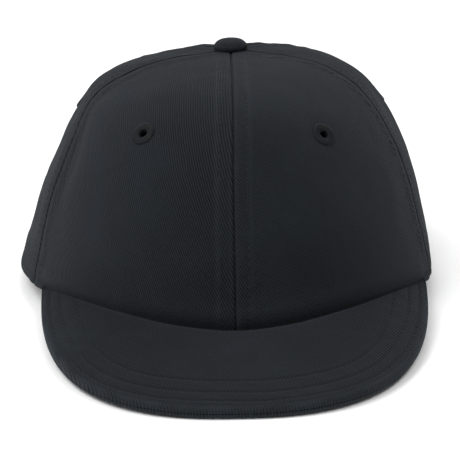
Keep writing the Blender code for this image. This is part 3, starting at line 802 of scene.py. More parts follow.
def surface_row(azimuth, low, high, offset, depth=None, steps=160):
    """A path up the crown beside a seam, with its outward normals. It lies on the twill, or at a depth."""
    levels = even_levels(azimuth, low, high, np.linspace(0, 1, steps))
    round_it = sideways(np.full(steps, float(azimuth)), levels, offset)
    raised = -cloth_relief(round_it, levels) if depth is None else depth
    sign = 1 if depth is None else -1
    return cloth_point(round_it, levels, raised), sign * crown_normal(round_it, levels)


def make_crown_stitches(finish):
    """Two rows beside each seam, and one round the hem behind the peak."""
    rows = []
    for seam in SEAMS[1:]:
        foot = ARCH_HEIGHT + 4.5 if seam == 180 else float(rim_height(seam)) + (2.5 if seam else 3.2)
        low = level_at_height(seam, foot)
        high = level_at_radius(np.array(seam), 9.5)
        for side in (-ALLOWANCE, ALLOWANCE):
            path, up = surface_row(seam, low, high, side)
            sunk = TOP_STITCH_SINK * (1 - smooth(28, 50, np.linalg.norm(path[:, :2], axis=1)))
            rows.append((path - up * sunk[:, None], up))
    stitches("seam_topstitching", rows, finish)
    hem_rows = []
    for sign in (1, -1):
        azimuth = sign * np.linspace(63, float(azimuth_at_x(ARCH_HALF_WIDTH + 3.5)), 300)
        level = level_at_height(azimuth, rim_height(azimuth) + HEM_STITCH_HEIGHT)
        path = cloth_point(azimuth, level, -cloth_relief(azimuth, level))
        hem_rows.append((path, crown_normal(azimuth, level)))
    stitches("hem_stitching", hem_rows, finish, seed=2)


def make_eyelets(finish):
    """Satin-stitched rings: each thread bends over the ring, from the hole to the cloth."""
    angle = round_turns(EYELET_THREADS * 6)[:, None]
    over = np.radians(np.linspace(-35, 180, 13))[None]
    half = (EYELET_RADIUS - EYELET_HOLE_RADIUS) / 2
    ridge = 0.13 * np.abs(np.cos(angle * EYELET_THREADS / 2)) ** 0.8
    neck = np.array([[0.05, -1.5], [0.35, -1.5], [0.42, -0.3]]) + (EYELET_HOLE_RADIUS, 0)
    for place, azimuth in EYELET_AZIMUTHS.items():
        for side, sign in (("left", 1), ("right", -1)):
            generator = np.random.default_rng(int(azimuth) + sign)
            ragged = np.repeat(generator.uniform(-0.16, 0.12, EYELET_THREADS), 6)[:, None]
            radius = EYELET_HOLE_RADIUS + half + (half + ridge + ragged * (np.cos(over) > 0)) * np.cos(over)
            height = 0.05 + (EYELET_RAISE - 0.1 + ridge) * np.sin(over)
            ones = np.ones_like(angle)
            radius = np.concatenate([radius, ones * neck[None, :, 0]], 1)
            height = np.concatenate([height, ones * neck[None, :, 1]], 1)
            local = np.stack([radius * np.cos(angle), radius * np.sin(angle), height], -1)
            spot = eyelet_place(place, sign)
            turn = facing(crown_normal(*spot))
            centre = cloth_point(*spot, -cloth_relief(*spot))
            weave = np.stack([angle * 3 + 0 * radius, radius], -1)
            name = f"{place}_eyelet_{side}"
            ring = sweep(name, centre + local @ turn.T, finish, "cap", weave, around=True, sharp=180)
            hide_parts(name)


def make_seam_tapes(finish, sewing):
    """A tape inside each seam, sewn down along both edges."""
    rows = []
    for place, azimuth in SEAM_TAPES:
        foot = ARCH_HEIGHT + 2.0 if azimuth == 180 else float(rim_height(azimuth)) + 2.0
        low = level_at_height(azimuth, foot)
        high = level_at_radius(np.array(azimuth), TAPE_TOP_RADIUS)
        levels = even_levels(azimuth, low, high, np.linspace(0, 1, 120))[None]
        across = np.linspace(-TAPE_HALF_WIDTH, TAPE_HALF_WIDTH, 15)[:, None]
        round_it = sideways(azimuth + 0 * levels + 0 * across, levels + 0 * across, across)
        levels = levels + 0 * across
        outer = cloth_point(round_it, levels, TAPE_DEPTH[0] - 0.1)
        crest = 0.25 * bell(across, 0, 2.2) - 0.2 * bell(np.abs(across), ALLOWANCE, 0.6)
        inner = cloth_point(round_it, levels, TAPE_DEPTH[1] + crest + 0.1 * ripple(outer, 9, 31))
        climb = lengths_along(outer[7])[None] + 0 * across
        weave = np.stack([across + 0 * climb, climb], -1)
        tape = plate(f"seam_tape_{place}", outer, inner, finish, "cap", weave)
        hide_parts(f"seam_tape_{place}")
        for side in (-ALLOWANCE, ALLOWANCE):
            rows.append(surface_row(azimuth, low, high, side, TAPE_DEPTH[1]))
    stitches("tape_stitching", rows, sewing, seed=3)


def make_button(finish):
    """The covered button: cloth pulled over a dome, with small pleats gathered under its edge."""
    segments, rings = 144, 30
    angle = round_turns(segments)[:, None]
    turn = np.linspace(np.pi / 2, -0.62, rings)[None]
    pleat = 0.08 * np.cos(angle * 17 + 1.3 * np.sin(angle * 3)) * smooth(0.25, -0.4, turn)
    radius = (BUTTON_RADIUS + pleat) * np.maximum(np.cos(turn), 0) ** 0.8
    dome = np.sign(np.sin(turn)) * np.abs(np.sin(turn)) ** 1.06
    height = BUTTON_EDGE_HEIGHT + (BUTTON_HEIGHT - BUTTON_EDGE_HEIGHT) * dome
    shape = np.stack([radius * np.cos(angle), radius * np.sin(angle), APEX_HEIGHT + height + 0 * angle], -1)
    shape = shape + (0.09 * ripple(shape, 6, 41))[..., None] * (0, 0, 1)
    ring = BUTTON_CAVITY * np.concatenate([np.cos(angle), np.sin(angle), 0 * angle], 1)[:, None]
    sections = np.concatenate([shape, ring + (0, 0, APEX_HEIGHT + 0.35), ring + (0, 0, APEX_HEIGHT + 2.3)], 1)
    sections = settle(sections)
    faces = grid_faces(segments, rings + 2, around=True).tolist()
    faces.append([k * (rings + 2) + rings + 1 for k in range(segments)])
    wear = 0.4 * bell(turn, 0.25, 0.25) + 0 * angle
    wear = np.concatenate([wear, np.zeros((segments, 2))], 1)
    arc = BUTTON_RADIUS * np.concatenate([np.pi / 2 - turn, [[2.6, 2.9]]], 1)
    weave = np.stack([arc * np.cos(angle), arc * np.sin(angle)], -1)
    button = add_piece("button_cover", sections, faces, finish, "cap", weave, wear)
    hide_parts("button_cover")


# ---------------------------------------------------------------- peak

def peak_lines(t):
    """Start, direction, length and normal of the peak's rulings, from the crown to the peak's edge."""
    azimuth = t * PEAK_END_AZIMUTH
    x, forward = rim_outline(azimuth)
    outward = crown_normal(azimuth, 0.01) * (1, 1, 0)
    start = np.stack([x, -forward, interpolate(PEAK_JOINT_HEIGHTS, np.abs(azimuth))], -1)
    gap = PEAK_JOINT_GAP - PEAK_END_TUCK * smooth(0.5, 0.85, np.abs(t))
    start = start + unit(outward) * gap[..., None]
    turn = 90 - (90 - PEAK_OUTLINE_START) * np.abs(t)
    edge_x = PEAK_HALF_WIDTH * np.cos(np.radians(turn)) ** (2 / PEAK_EXPONENT)
    reach = np.sin(np.radians(turn)) ** (2 / PEAK_EXPONENT)
    edge_forward = PEAK_CENTRE_FORWARD + (PEAK_TIP_FORWARD - PEAK_CENTRE_FORWARD) * reach
    end = np.stack([np.sign(t) * edge_x, -edge_forward, interpolate(PEAK_EDGE_HEIGHTS, turn)], -1)
    length = np.linalg.norm(end - start, axis=-1)
    direction = (end - start) / length[..., None]
    normal = unit(np.array([0, 0, 1.0]) - direction * direction[..., 2:])
    return start, direction, length, normal


DENSE = np.linspace(-1, 1, 1601)
DENSE_LINES = peak_lines(DENSE)
PEAK_OUTLINE = DENSE_LINES[0] + DENSE_LINES[1] * DENSE_LINES[2][:, None]


def edge_distance(points):
    """How far points on the peak are from its outline, seen from above."""
    flat = points[..., :2].reshape(-1, 2)
    outline = PEAK_OUTLINE[::4, :2]
    nearest = np.full(len(flat), np.inf)
    for a, b in zip(outline[:-1], outline[1:]):
        t = np.clip(((flat - a) @ (b - a)) / max((b - a) @ (b - a), 1e-9), 0, 1)
        nearest = np.minimum(nearest, np.linalg.norm(flat - a - t[:, None] * (b - a), axis=1))
    return nearest.reshape(points.shape[:-1])


def row_share(x):
    """The rows of stitching run closer to the edge round the peak's corners."""
    return 1 - 0.28 * smooth(15, 55, np.abs(x))


def peak_relief(points, apart, side):
    """Rows of stitching pull the cover in, and the cloth between them is slightly quilted."""
    rows = sum(bell(apart, row * row_share(points[..., 0]), 0.6) for row in PEAK_STITCH_ROWS)
    quilted = 0.13 * ripple(points, 9, 51 + side) * bell(apart, 10, 11) + 0.2 * ripple(points, 34, 53 + side)
    return (quilted - 0.42 * rows + 0.16) * smooth(0.4, 3.5, apart)


def make_peak_cover(name, side, finish):
    """One cover of the peak, above its board or below it, rolled over at the edge."""
    closing = 1 + PEAK_END_ROLL * np.sin(np.radians([18, 36, 54, 72, 85]))
    t = np.concatenate([-closing[::-1], np.linspace(-1, 1, 281), closing])[:, None]
    start, direction, length, normal = peak_lines(t)
    beyond = np.clip((np.abs(t) - 1) / PEAK_END_ROLL, 0, 1)
    thin = np.sqrt(1 - beyond**2)
    near = np.array([0, 0.25, 0.5, 0.8, 1.2, 1.7, PEAK_JOINT_STRIP])[None]
    span = length - PEAK_ROLL - PEAK_JOINT_STRIP
    fine = np.minimum(25.0, 0.7 * span)
    body = np.concatenate([
        PEAK_JOINT_STRIP + (span - fine) * np.linspace(0, 1, 24)[None, 1:],
        PEAK_JOINT_STRIP + span - fine * np.linspace(1, 0, 46)[None, 1:],
    ], 1)
    quarter = np.radians(np.linspace(0, 90, 9))[None, 1:]
    height = PEAK_HALF_THICKNESS - PEAK_SPLIT
    along = np.concatenate([near + 0 * length, body, length - PEAK_ROLL + PEAK_ROLL * np.sin(quarter)], 1)
    rounded = PEAK_SPLIT + height * np.cos(quarter) + 0 * length
    flat = PEAK_HALF_THICKNESS - 1.1 * bell(near, 0, 0.8) - 0.25 * bell(near, 0, 2.2) + 0 * length
    up = np.concatenate([flat, np.full(body.shape, PEAK_HALF_THICKNESS), rounded], 1)
    up = PEAK_SPLIT + (up - PEAK_SPLIT) * thin
    skin = start + direction * along[..., None] + normal * (side * up)[..., None]
    apart = edge_distance(skin)
    relief = peak_relief(skin, apart, side) * smooth(0, 2.5, along)
    skin = skin + normal * (side * relief)[..., None]
    wear = 0.8 * bell(apart, 0.7, 0.8) * (0.6 + 0.4 * ripple(skin, 13, 61))
    inner_along = np.concatenate([length - 1.2, length - 1.2, 0 * length], 1)
    inside = PEAK_SPLIT + (PEAK_UNDER - PEAK_SPLIT) * (beyond == 0)
    inner_up = np.concatenate([0 * length + PEAK_SPLIT, inside, inside], 1)
    inner = start + direction * inner_along[..., None] + normal * (side * inner_up)[..., None]
    sections = np.concatenate([skin, inner], 1)
    weave = np.stack([sections[..., 0], -np.concatenate([along, inner_along], 1)], -1)
    wear = np.concatenate([np.clip(wear, 0, 1), np.zeros((len(t), 3))], 1)
    cover = sweep(name, sections, finish, "cap", weave, wear)
    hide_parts(name)


def make_peak_board(finish):
    """The stiff board between the covers, with eased edges."""
    start, direction, length, normal = peak_lines(np.linspace(-0.995, 0.995, 241)[:, None])
    outer, middle, near = length - 1.4, length - 1.9, np.full(length.shape, 0.3)
    along = np.concatenate([near, middle, outer, outer, middle, near], 1)
    up = np.array([-0.8, -0.8, -0.45, 0.45, 0.8, 0.8])[None]
    board = sweep("peak_board", start + direction * along[..., None] + normal * up[..., None], finish)
    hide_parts("peak_board")


def peak_row(apart, side):
    """A row of stitching this far inside the peak's outline, as a path with its normals."""
    tangent = unit(np.gradient(PEAK_OUTLINE[:, :2], axis=0))
    inward = np.stack([-tangent[:, 1], tangent[:, 0]], -1)
    flat = PEAK_OUTLINE[:, :2]
    for _ in range(4):
        flat = PEAK_OUTLINE[:, :2] + inward * apart * row_share(flat[:, :1])
    start, direction, length, normal = DENSE_LINES
    plan = unit(direction[:, :2])
    kept = []
    for x, y in flat[::2]:
        gap = (x - start[:, 0]) * plan[:, 1] - (y - start[:, 1]) * plan[:, 0]
        crossing = np.nonzero(np.sign(gap[:-1]) != np.sign(gap[1:]))[0]
        for k in crossing:
            along = ((np.array([x, y]) - start[k, :2]) @ plan[k]) / np.linalg.norm(direction[k, :2])
            if 1.2 < along < length[k] - 0.5:
                point = start[k] + direction[k] * along
                kept.append(np.concatenate([point, normal[k]]))
                break
    kept = np.array(kept)
    path, up = kept[:, :3], side * kept[:, 3:]
    skin = path + up * PEAK_HALF_THICKNESS
    relief = peak_relief(skin, apart * row_share(skin[:, 0]), side)
    return skin + up * relief[:, None], up


def make_peak_stitches(finish):
    """Three rows round the peak, through both of its covers."""
    for name, side in (("peak_top_stitching", 1), ("peak_under_stitching", -1)):
        rows = [peak_row(row, side) for row in PEAK_STITCH_ROWS]
        stitches(name, rows, finish, pitch=PEAK_STITCH_PITCH, radius=PEAK_THREAD_RADIUS, seed=5 + side)


# ---------------------------------------------------------------- rear opening

def arch_row(spread, depth, turns):
    """Points round the rear opening, spread this far outside its outline, at a depth."""
    power = 2 / ARCH_EXPONENT
    azimuth = azimuth_at_x((ARCH_HALF_WIDTH + spread) * signed_power(np.cos(turns), power))
    rise = 0.15 + (ARCH_HEIGHT + spread) * np.maximum(np.sin(turns), 0) ** power
    level = level_at_height(azimuth, rise)
    return cloth_point(azimuth, level, depth), crown_normal(azimuth, level)


def make_arch_binding(finish, sewing):
    """Bias tape folded over the edge of the opening, sewn through."""
    turns = np.linspace(0, np.pi, 181)
    profile_points = (
        (3.1, -0.2), (3.0, -0.75), (2.2, -0.98), (0.6, -0.82), (-1.2, -0.95), (-2.2, -0.7), (-2.7, -0.1),
        (-2.75, 0.7), (-2.3, 1.4), (-1.2, 1.75), (0.3, 1.7), (1.4, 1.6), (1.5, 1.2), (0.5, 0.5),
    )
    wave = 0.1 * np.sin(turns * 31) + 0.07 * np.sin(turns * 13 + 1)
    columns = [arch_row(spread + 0.4 * wave * (abs(spread) > 2), depth + 0.2 * wave, turns)[0]
               for spread, depth in profile_points]
    sections = np.stack(columns, 1)
    along = lengths_along(sections[:, 0])[:, None]
    round_it = np.array([spread for spread, _ in profile_points])[None]
    weave = np.stack([round_it + 0 * along, along + 0 * round_it], -1)
    binding = sweep("arch_binding", sections, finish, "cap", weave, sharp=80)
    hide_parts("arch_binding")
    inner_turns = np.linspace(0.03, np.pi - 0.03, 260)
    rows = []
    for depth, side in ((-0.86, 1), (1.66, -1)):
        path, up = arch_row(0.9, depth, inner_turns)
        rows.append((path, side * up))
    stitches("binding_stitching", rows, sewing, seed=7)


def strap_piece(name, x, heights, depths, finish, body, round_ends=(0, 0)):
    """A band across the back, between two depths, each a number or a function of x and height.

    round_ends gives the corner radius at its first and last x.
    """
    low, high = heights
    middle, half = (low + high) / 2, (high - low) / 2
    trim = np.zeros_like(x)
    for end_x, radius in ((x[0], round_ends[0]), (x[-1], round_ends[1])):
        if radius:
            inside = np.clip(radius - np.abs(x - end_x), 0, radius)
            trim = np.maximum(trim, radius - np.sqrt(np.maximum(radius**2 - inside**2, 0)))
    share = np.linspace(-1, 1, 21)[None]
    height = middle + share * (half - trim)[:, None]
    azimuth = azimuth_at_x(x)[:, None] + 0 * height
    level = level_at_height(azimuth, height)
    edge = 0.28 * smooth(0.88, 1.0, np.abs(share))
    outer_depth, inner_depth = (depth(x, height) if callable(depth) else depth for depth in depths)
    outer = cloth_point(azimuth, level, outer_depth + edge)
    inner = cloth_point(azimuth, level, inner_depth - edge)
    along = lengths_along(outer[:, 10])[:, None]
    weave = np.stack([along + 0 * height, height], -1)
    piece = plate(name, outer, inner, finish, body, weave)
    return piece, outer, along.max()


def crossing(x, height):
    """From 0 inside the crown to 1 outside it: where the outer strap comes out past the binding."""
    share = np.clip((height - 0.8) / ARCH_HEIGHT, 0, 1)
    lip = (ARCH_HALF_WIDTH - 2.7) * (1 - share**ARCH_EXPONENT) ** (1 / ARCH_EXPONENT)
    return smooth(-2.2, 4.2, x[:, None] + lip)


def make_straps(cloth, hook, loop, sewing):
    """The strap that pulls the opening in, over the one that is sewn to the left back panel."""
    stretches = ((-STRAP_ROOT, -34, 12), (-33, -20, 34), (-19, OUTER_STRAP_END, 44))
    x = np.concatenate([np.linspace(*stretch) for stretch in stretches])

    def outer(x, height):
        return STRAP_DEPTH[0] - 4.0 * crossing(x, height) + 0.1 * np.sin(x / 4.1)[:, None]

    def inner(x, height):
        return STRAP_DEPTH[1] - 3.6 * crossing(x, height) + 0.1 * np.sin(x / 4.1)[:, None]

    strap, skin, length = strap_piece(
        "closure_strap_outer", x, STRAP_HEIGHTS, (outer, inner), cloth, None, (0, STRAP_CORNER)
    )
    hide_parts("closure_strap_outer", "closure_strap_outer_root")
    start, end = (hinge_side(x) for x in STRAP_BEND)
    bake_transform(strap)

    rows = []
    for column in (2, 18):
        keep = x > STRAP_BEND[1] + 0.5
        path = skin[keep, column]
        azimuth = azimuth_at_x(x[keep])
        up = crown_normal(azimuth, level_at_height(azimuth, STRAP_MIDDLE))
        rows.append((path, up))
    stitches("closure_strap_stitching", rows, sewing, "closure_strap", seed=9)

    x = np.linspace(-INNER_STRAP_END, STRAP_ROOT, 70)
    strap, _, length = strap_piece(
        "closure_strap_inner", x, STRAP_HEIGHTS, STRAP_DEPTH, cloth, "cap", (STRAP_CORNER, 0)
    )
    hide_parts("closure_strap_inner")
    make_patches(hook, loop)


def hinge_side(x):
    """A point in metres on the outer strap's mid height, at this x."""
    azimuth = azimuth_at_x(np.array(x))
    point = layer_point(azimuth, level_at_height(azimuth, STRAP_MIDDLE), -1.4)
    return tuple((point + (0, CROWN_AXIS_Y, 0)) * MM)


def make_patches(hook, loop):
    """Hook tape under the free strap, and the loop tape that it grips. Both have real pile."""
    x = np.linspace(-PATCH_END, PATCH_END, 50)
    patch, _, _ = strap_piece(
        "closure_hook_patch", x, PATCH_HEIGHTS, HOOK_PATCH_DEPTH, hook, "closure_strap"
    )
    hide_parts("closure_hook_patch")
    pile(
        "closure_hooks", hook, "closure_strap", HOOK_PATCH_DEPTH[1],
        reach=0.42, pitch=1.25, radius=0.11, seed=71, slot="hook_tape",
    )
    patch, _, _ = strap_piece("closure_loop_patch", x, PATCH_HEIGHTS, LOOP_PATCH_DEPTH, loop, "cap")
    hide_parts("closure_loop_patch")
    pile(
        "closure_loops", loop, "cap", LOOP_PATCH_DEPTH[0],
        reach=-0.5, pitch=0.85, radius=0.07, seed=73, slot="loop_tape",
    )


def pile(name, finish, body, depth, reach, pitch, radius, seed, slot):
    """Small bent hooks or loops standing on a patch, in rows. A positive reach points into the crown."""
    generator = np.random.default_rng(seed)
    xs = np.arange(-PATCH_END + 0.8, PATCH_END - 0.7, pitch)
    heights = np.arange(PATCH_HEIGHTS[0] + 0.8, PATCH_HEIGHTS[1] - 0.6, pitch)
    x, height = (part.ravel() for part in np.meshgrid(xs, heights, indexing="ij"))
    x = x + generator.uniform(-0.12, 0.12, x.shape)
    azimuth = azimuth_at_x(x)
    level = level_at_height(azimuth, height)
    base = cloth_point(azimuth, level, depth)
    up = unit(cloth_point(azimuth, level, depth + reach) - base)
    lean = generator.uniform(0, math.tau if slot == "loop_tape" else 0.4, x.shape)
    along = unit(cloth_point(azimuth + 0.5, level, depth) - base)
    side = np.cross(up, along)
    toward = along * np.cos(lean)[:, None] + side * np.sin(lean)[:, None]
    bend = np.radians(np.array([0, 60, 110, 160, 215]))
    size = abs(reach)
    out = 0.32 * size * (1 - np.cos(bend))
    high = size * np.array([0, 0.75, 1.0, 0.9, 0.55])
    spine = base[:, None] + toward[:, None] * out[:, None] + up[:, None] * high[:, None]
    cross = np.cross(up, toward)
    corners = np.radians(np.array([45, 135, 225, 315]))
    ring = cross[:, None] * np.cos(corners)[:, None] + toward[:, None] * np.sin(corners)[:, None]
    tubes = spine[:, :, None] + radius * ring[:, None]
    one = np.concatenate([grid_faces(5, 4, closed=True), [[3, 2, 1, 0], [16, 17, 18, 19]]])
    faces = (one[None] + 20 * np.arange(len(x))[:, None, None]).reshape(-1, 4)
    piece = add_piece(name, tubes, faces, finish, body, sharp=180)


# ---------------------------------------------------------------- inside the cap

def band_wave(point):
    """Soft unevenness of the sweatband."""
    return 0.22 * ripple(point, 26, 81) + 0.1 * ripple(point, 7, 83)


def make_sweatband(finish, sewing, label_finish):
    """A towelling band, sewn in at the rim, with a stitched hem along its free top edge."""
    end = float(azimuth_at_x(ARCH_HALF_WIDTH + 1.5))
    azimuth = np.linspace(-end, end, 420)[:, None]
    share = np.linspace(0, 1, 34)[None]
    low = rim_height(azimuth) + 0.4
    height = low + (SWEATBAND_TOP - low) * share
    level = level_at_height(azimuth, height)
    azimuth = azimuth + 0 * level
    outer_depth, inner_depth = SWEATBAND_DEPTH
    top_edge = 0.35 * smooth(SWEATBAND_TOP - 5.2, SWEATBAND_TOP - 4.2, height)
    wave = band_wave(crown_point(azimuth, level))
    sewn = -0.35 * bell(height, SWEATBAND_TOP - SWEATBAND_TOP_SEAM, 0.6) - 0.35 * bell(height - low, 3.4, 0.7)
    rounding = 0.55 * (bell(share, 0, 0.03) + bell(share, 1, 0.03))
    outer = cloth_point(azimuth, level, outer_depth + rounding)
    inner = cloth_point(azimuth, level, inner_depth + top_edge * 0.6 + wave * 0.7 + sewn - rounding)
    weave = np.stack([np.radians(azimuth) * 90, height], -1)
    band = plate("sweatband", outer, inner, finish, "cap", weave)
    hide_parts("sweatband")
    rows = []
    line = np.linspace(-end + 1.5, end - 1.5, 500)
    top_seam = np.full(line.shape, SWEATBAND_TOP - SWEATBAND_TOP_SEAM)
    for height in (top_seam, rim_height(line) + SWEATBAND_RIM_SEAM):
        level = level_at_height(line, height)
        wave = band_wave(crown_point(line, level))
        path = cloth_point(line, level, inner_depth + wave * 0.7 - 0.2)
        rows.append((path, -crown_normal(line, level)))
    stitches("sweatband_stitching", rows, sewing, seed=11)
    make_label(label_finish, sewing)


def make_label(finish, sewing):
    """A small blank woven label, sewn down near its ends."""
    centre = float(azimuth_at_x(np.array(LABEL_X)))
    azimuth = np.linspace(centre - LABEL_HALF_TURN, centre + LABEL_HALF_TURN, 40)[:, None]
    height = np.linspace(*LABEL_HEIGHTS, 24)[None]
    level = level_at_height(azimuth + 0 * height, height)
    azimuth = azimuth + 0 * height
    lift = 0.25 * bell(height, 19, 5) + 0.1 * np.sin(azimuth * 0.8)
    outer = cloth_point(azimuth, level, LABEL_DEPTH[0])
    inner = cloth_point(azimuth, level, LABEL_DEPTH[1] + lift)
    weave = np.stack([azimuth * 1.6, height + 0 * azimuth], -1)
    label = plate("size_label", outer, inner, finish, "cap", weave)
    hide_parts("size_label")
    rows = []
    for edge in (centre - 5.3, centre + 5.3):
        line = level_at_height(edge, np.linspace(12.6, 25.4, 30))
        rows.append((cloth_point(edge, line, LABEL_DEPTH[1] + 0.05), -crown_normal(np.full(30, edge), line)))
    stitches("label_stitching", rows, sewing, pitch=1.9, radius=0.14, seed=13)


def disc_points(azimuth, height, radius, depth, rings, segments=64):
    """Rings of points about a place on the crown."""
    level = level_at_height(azimuth, height)
    step = crown_point(azimuth, level + 0.01) - crown_point(azimuth, level - 0.01)
    rise = np.linalg.norm(step) / 0.02
    angle = round_turns(segments)[:, None]
    reach = radius * rings[None]
    up = level + reach * np.sin(angle) / rise
    return layer_point(sideways(np.full(up.shape, float(azimuth)), up, reach * np.cos(angle)), up, depth)


def make_dots(loop, hook):
    """Hook-and-loop dots in pairs. The loop one is sewn to the cap, and the hook one is on the shell."""
    rings = np.linspace(0.02, 1, 12)
    for place, (azimuth, height) in DOTS.items():
        kinds = (("loop", CAP_DOT_DEPTH, loop, "cap"), ("hook", SHELL_DOT_DEPTH, hook, "shell_insert"))
        for kind, depths, finish, body in kinds:
            name = f"retaining_dot_{kind}_{place}"
            edge = 0.22 * smooth(0.9, 1.0, rings)[None]
            outer = disc_points(azimuth, height, DOT_RADIUS, depths[0] + edge, rings)
            inner = disc_points(azimuth, height, DOT_RADIUS, depths[1] - edge, rings)
            weave = outer[..., [0, 2]]
            dot = plate(name, outer, inner, finish, body, weave, around=True)
            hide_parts(name)


def make_shell(finish):
    """The moulded shell: a rolled rim, six slots and a shallow rib between them."""
    azimuth = np.linspace(0, 360, 240, endpoint=False)[:, None]
    low = level_at_height(azimuth, SHELL_RIM)
    level = even_levels(azimuth, low, 0.9995 + 0 * low, np.linspace(0, 1, 70)[None])
    azimuth = azimuth + 0 * level
    above = crown_point(azimuth, level)[..., 2] - SHELL_RIM
    rim = 0.45 * (1 - smooth(1.6, 3.2, above))
    rounding = 0.8 * (1 - np.sqrt(np.clip(1 - np.clip(1 - above / 1.2, 0, 1) ** 2, 0, 1)))
    radius = radius_at(azimuth, level)
    rib = 0.5 * bell(np.abs((azimuth + 30) % 60 - 30) * np.radians(1) * radius, 0, 1.6)
    rib = rib * smooth(12, 18, radius) * (1 - smooth(62, 70, radius))
    outer = layer_point(azimuth, level, SHELL_DEPTH[0] - rim * 0.4 + rounding)
    inner = layer_point(azimuth, level, SHELL_DEPTH[1] - rounding + rib)
    shell = plate("abs_shell", outer, inner, finish, "shell_insert", outer[..., :2], around=True)
    apply_cut(shell, vent_cutter(finish))
    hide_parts("abs_shell")


def vent_cutter(finish):
    """Six upright slots with round ends, in one mesh."""
    points, faces = [], []
    half = (VENT_LENGTH - VENT_WIDTH) / 2
    ends = np.radians(np.linspace(-90, 90, 13))
    for k in range(VENT_COUNT):
        turn = math.radians(30 + 60 * k)
        outward = np.array([math.sin(turn), -math.cos(turn), 0])
        sideway = np.array([outward[1], -outward[0], 0])
        ring = [
            outward * (VENT_RADIUS + end * (half + math.cos(a) * VENT_WIDTH / 2))
            + sideway * (end * math.sin(a) * VENT_WIDTH / 2)
            for end in (1, -1) for a in ends
        ]
        base, size = len(points), len(ring)
        points += [p + (0, 0, z) for z in (APEX_HEIGHT - 40, APEX_HEIGHT + 5) for p in ring]
        faces += [[base + j, base + (j + 1) % size, base + size + (j + 1) % size, base + size + j]
                  for j in range(size)]
        faces += [list(range(base, base + size))[::-1], list(range(base + size, base + 2 * size))]
    return add_piece("vent_cutter", points, faces, finish, body=None)


def pad_skin(azimuth, level, apart):
    """A pad's inner face: crowned, pulled in towards its edge, with the softness of laminated foam."""
    outer_depth, inner_depth = PAD_DEPTH
    swell = np.clip(apart / 5.5, 0, 1)
    full = np.sqrt(np.maximum(1 - (1 - swell) ** 2, 0))
    point = crown_point(azimuth, level)
    dimple = 0.16 * ripple(point, 12, 91) * swell
    return layer_point(azimuth, level, outer_depth + 0.9 + (inner_depth - outer_depth - 0.9) * full + dimple)


def make_pads(finish):
    """Fabric-faced foam pads, glued inside the shell."""
    pads = {"pad_brow": (-34, 34), "pad_left": (72, 112), "pad_right": (-112, -72), "pad_rear": (155, 205)}
    low, high = PAD_HEIGHTS
    for name, (start, end) in pads.items():
        azimuth = np.linspace(start, end, 90 if name != "pad_brow" else 140)[:, None]
        height = (low + (high - low) * clustered(34))[None] + 0 * azimuth
        middle = (start + end) / 2
        half_turn = np.radians((end - start) / 2)
        half = half_turn * radius_at(np.array(float(middle)), 0.3)
        away = half - np.abs(np.radians(azimuth - middle)) * half / half_turn
        aside = np.minimum(height - low, high - height)
        corner = np.hypot(np.maximum(PAD_CORNER - away, 0), np.maximum(PAD_CORNER - aside, 0))
        apart = np.minimum(np.minimum(away, aside), PAD_CORNER - corner)
        pull = np.maximum(-apart, 0)
        centre = (low + high) / 2
        height = centre + (height - centre) * (1 - pull / np.maximum(np.abs(height - centre), 1))
        level = level_at_height(azimuth + 0 * height, height)
        azimuth = azimuth + 0 * height
        outer = layer_point(azimuth, level, PAD_DEPTH[0])
        inner = pad_skin(azimuth, level, np.maximum(apart, 0))
        weave = np.stack([np.radians(azimuth) * 85, height], -1)
        finish_pad(plate(name, outer, inner, finish, "shell_insert", weave), name)
    azimuth = np.linspace(0, 360, 120, endpoint=False)[:, None]
    radius = CROWN_PAD_RADIUS * (1 - np.linspace(0, 0.985, 30)[None] ** 1.4) + 0 * azimuth
    level = level_at_radius(azimuth + 0 * radius, radius)
    azimuth = azimuth + 0 * level
    outer = layer_point(azimuth, level, PAD_DEPTH[0])
    inner = pad_skin(azimuth, level, CROWN_PAD_RADIUS - radius)
    pad = plate("pad_crown", outer, inner, finish, "shell_insert", outer[..., :2], around=True)
    finish_pad(pad, "pad_crown")


def finish_pad(piece, name):
    """Hides the CAD node that this foam pad replaces."""
    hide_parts(name)


def repaint(node, finish):
    """A CAD node whose shape is right takes a finer material."""
    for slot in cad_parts[node].material_slots:
        slot.material = finish


# ---------------------------------------------------------------- the cap

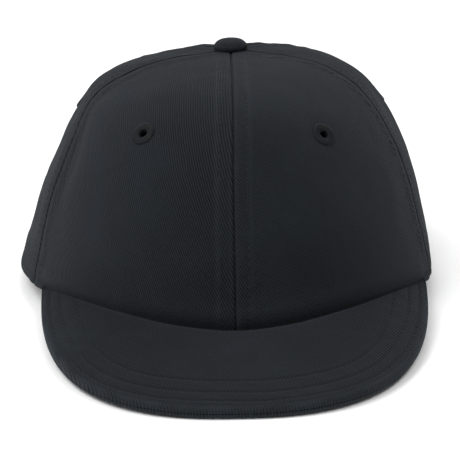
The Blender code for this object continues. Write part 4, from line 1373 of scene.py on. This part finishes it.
def main():
    """The camera, the studio, the finishes and then every piece of the cap."""
    add_camera()
    add_studio()
    # Colours are linear, from the low parts of each pattern to its raised ones
    cloth = twill("black_twill", (0.0018, 0.0023, 0.0029), (0.0130, 0.0160, 0.0198))
    sewing = thread("black_thread", (0.0042, 0.0051, 0.0062), (0.0135, 0.0163, 0.0195))
    embroidery = thread("eyelet_thread", (0.0020, 0.0026, 0.0034), (0.0068, 0.0085, 0.0108))
    tape = woven("seam_tape", (0.011, 0.012, 0.014), (0.03, 0.032, 0.036))
    binding = woven(
        "woven_binding", (0.003, 0.0036, 0.0044), (0.0145, 0.017, 0.020), across=0.06, along=0.04, sheen=0.06
    )
    towelling = terry("sweatband_terry", (0.007, 0.008, 0.0095), (0.032, 0.034, 0.039))
    satin = woven("label_satin", (0.42, 0.42, 0.4), (0.68, 0.68, 0.65), across=0.05, along=0.03)
    hook = moulded("hook_tape", (0.01, 0.01, 0.012), (0.02, 0.02, 0.023), grain=700.0, roughness=0.5)
    loop = terry("loop_tape", (0.01, 0.011, 0.013), (0.035, 0.036, 0.04))
    plastic = moulded("abs_plastic", (0.022, 0.023, 0.025), (0.03, 0.031, 0.033), grain=1800.0, depth=0.03)
    foam = terry("foam_facing", (0.022, 0.024, 0.027), (0.06, 0.063, 0.07))
    board = moulded(
        "peak_board_plastic", (0.02, 0.021, 0.023), (0.028, 0.029, 0.031), grain=300.0, roughness=0.5
    )
    metal = steel("rivet_metal")

    make_panels(cloth)
    make_crown_stitches(sewing)
    make_eyelets(embroidery)
    make_seam_tapes(tape, sewing)
    make_button(cloth)
    make_peak_cover("peak_top_cover", 1, cloth)
    make_peak_cover("peak_under_cover", -1, cloth)
    make_peak_board(board)
    make_peak_stitches(sewing)
    make_arch_binding(binding, sewing)
    make_straps(cloth, hook, loop, sewing)
    make_sweatband(towelling, sewing, satin)
    make_dots(loop, hook)
    make_shell(plastic)
    make_pads(foam)
    repaint("button_rivet", metal)
    repaint("button_washer", metal)


main()
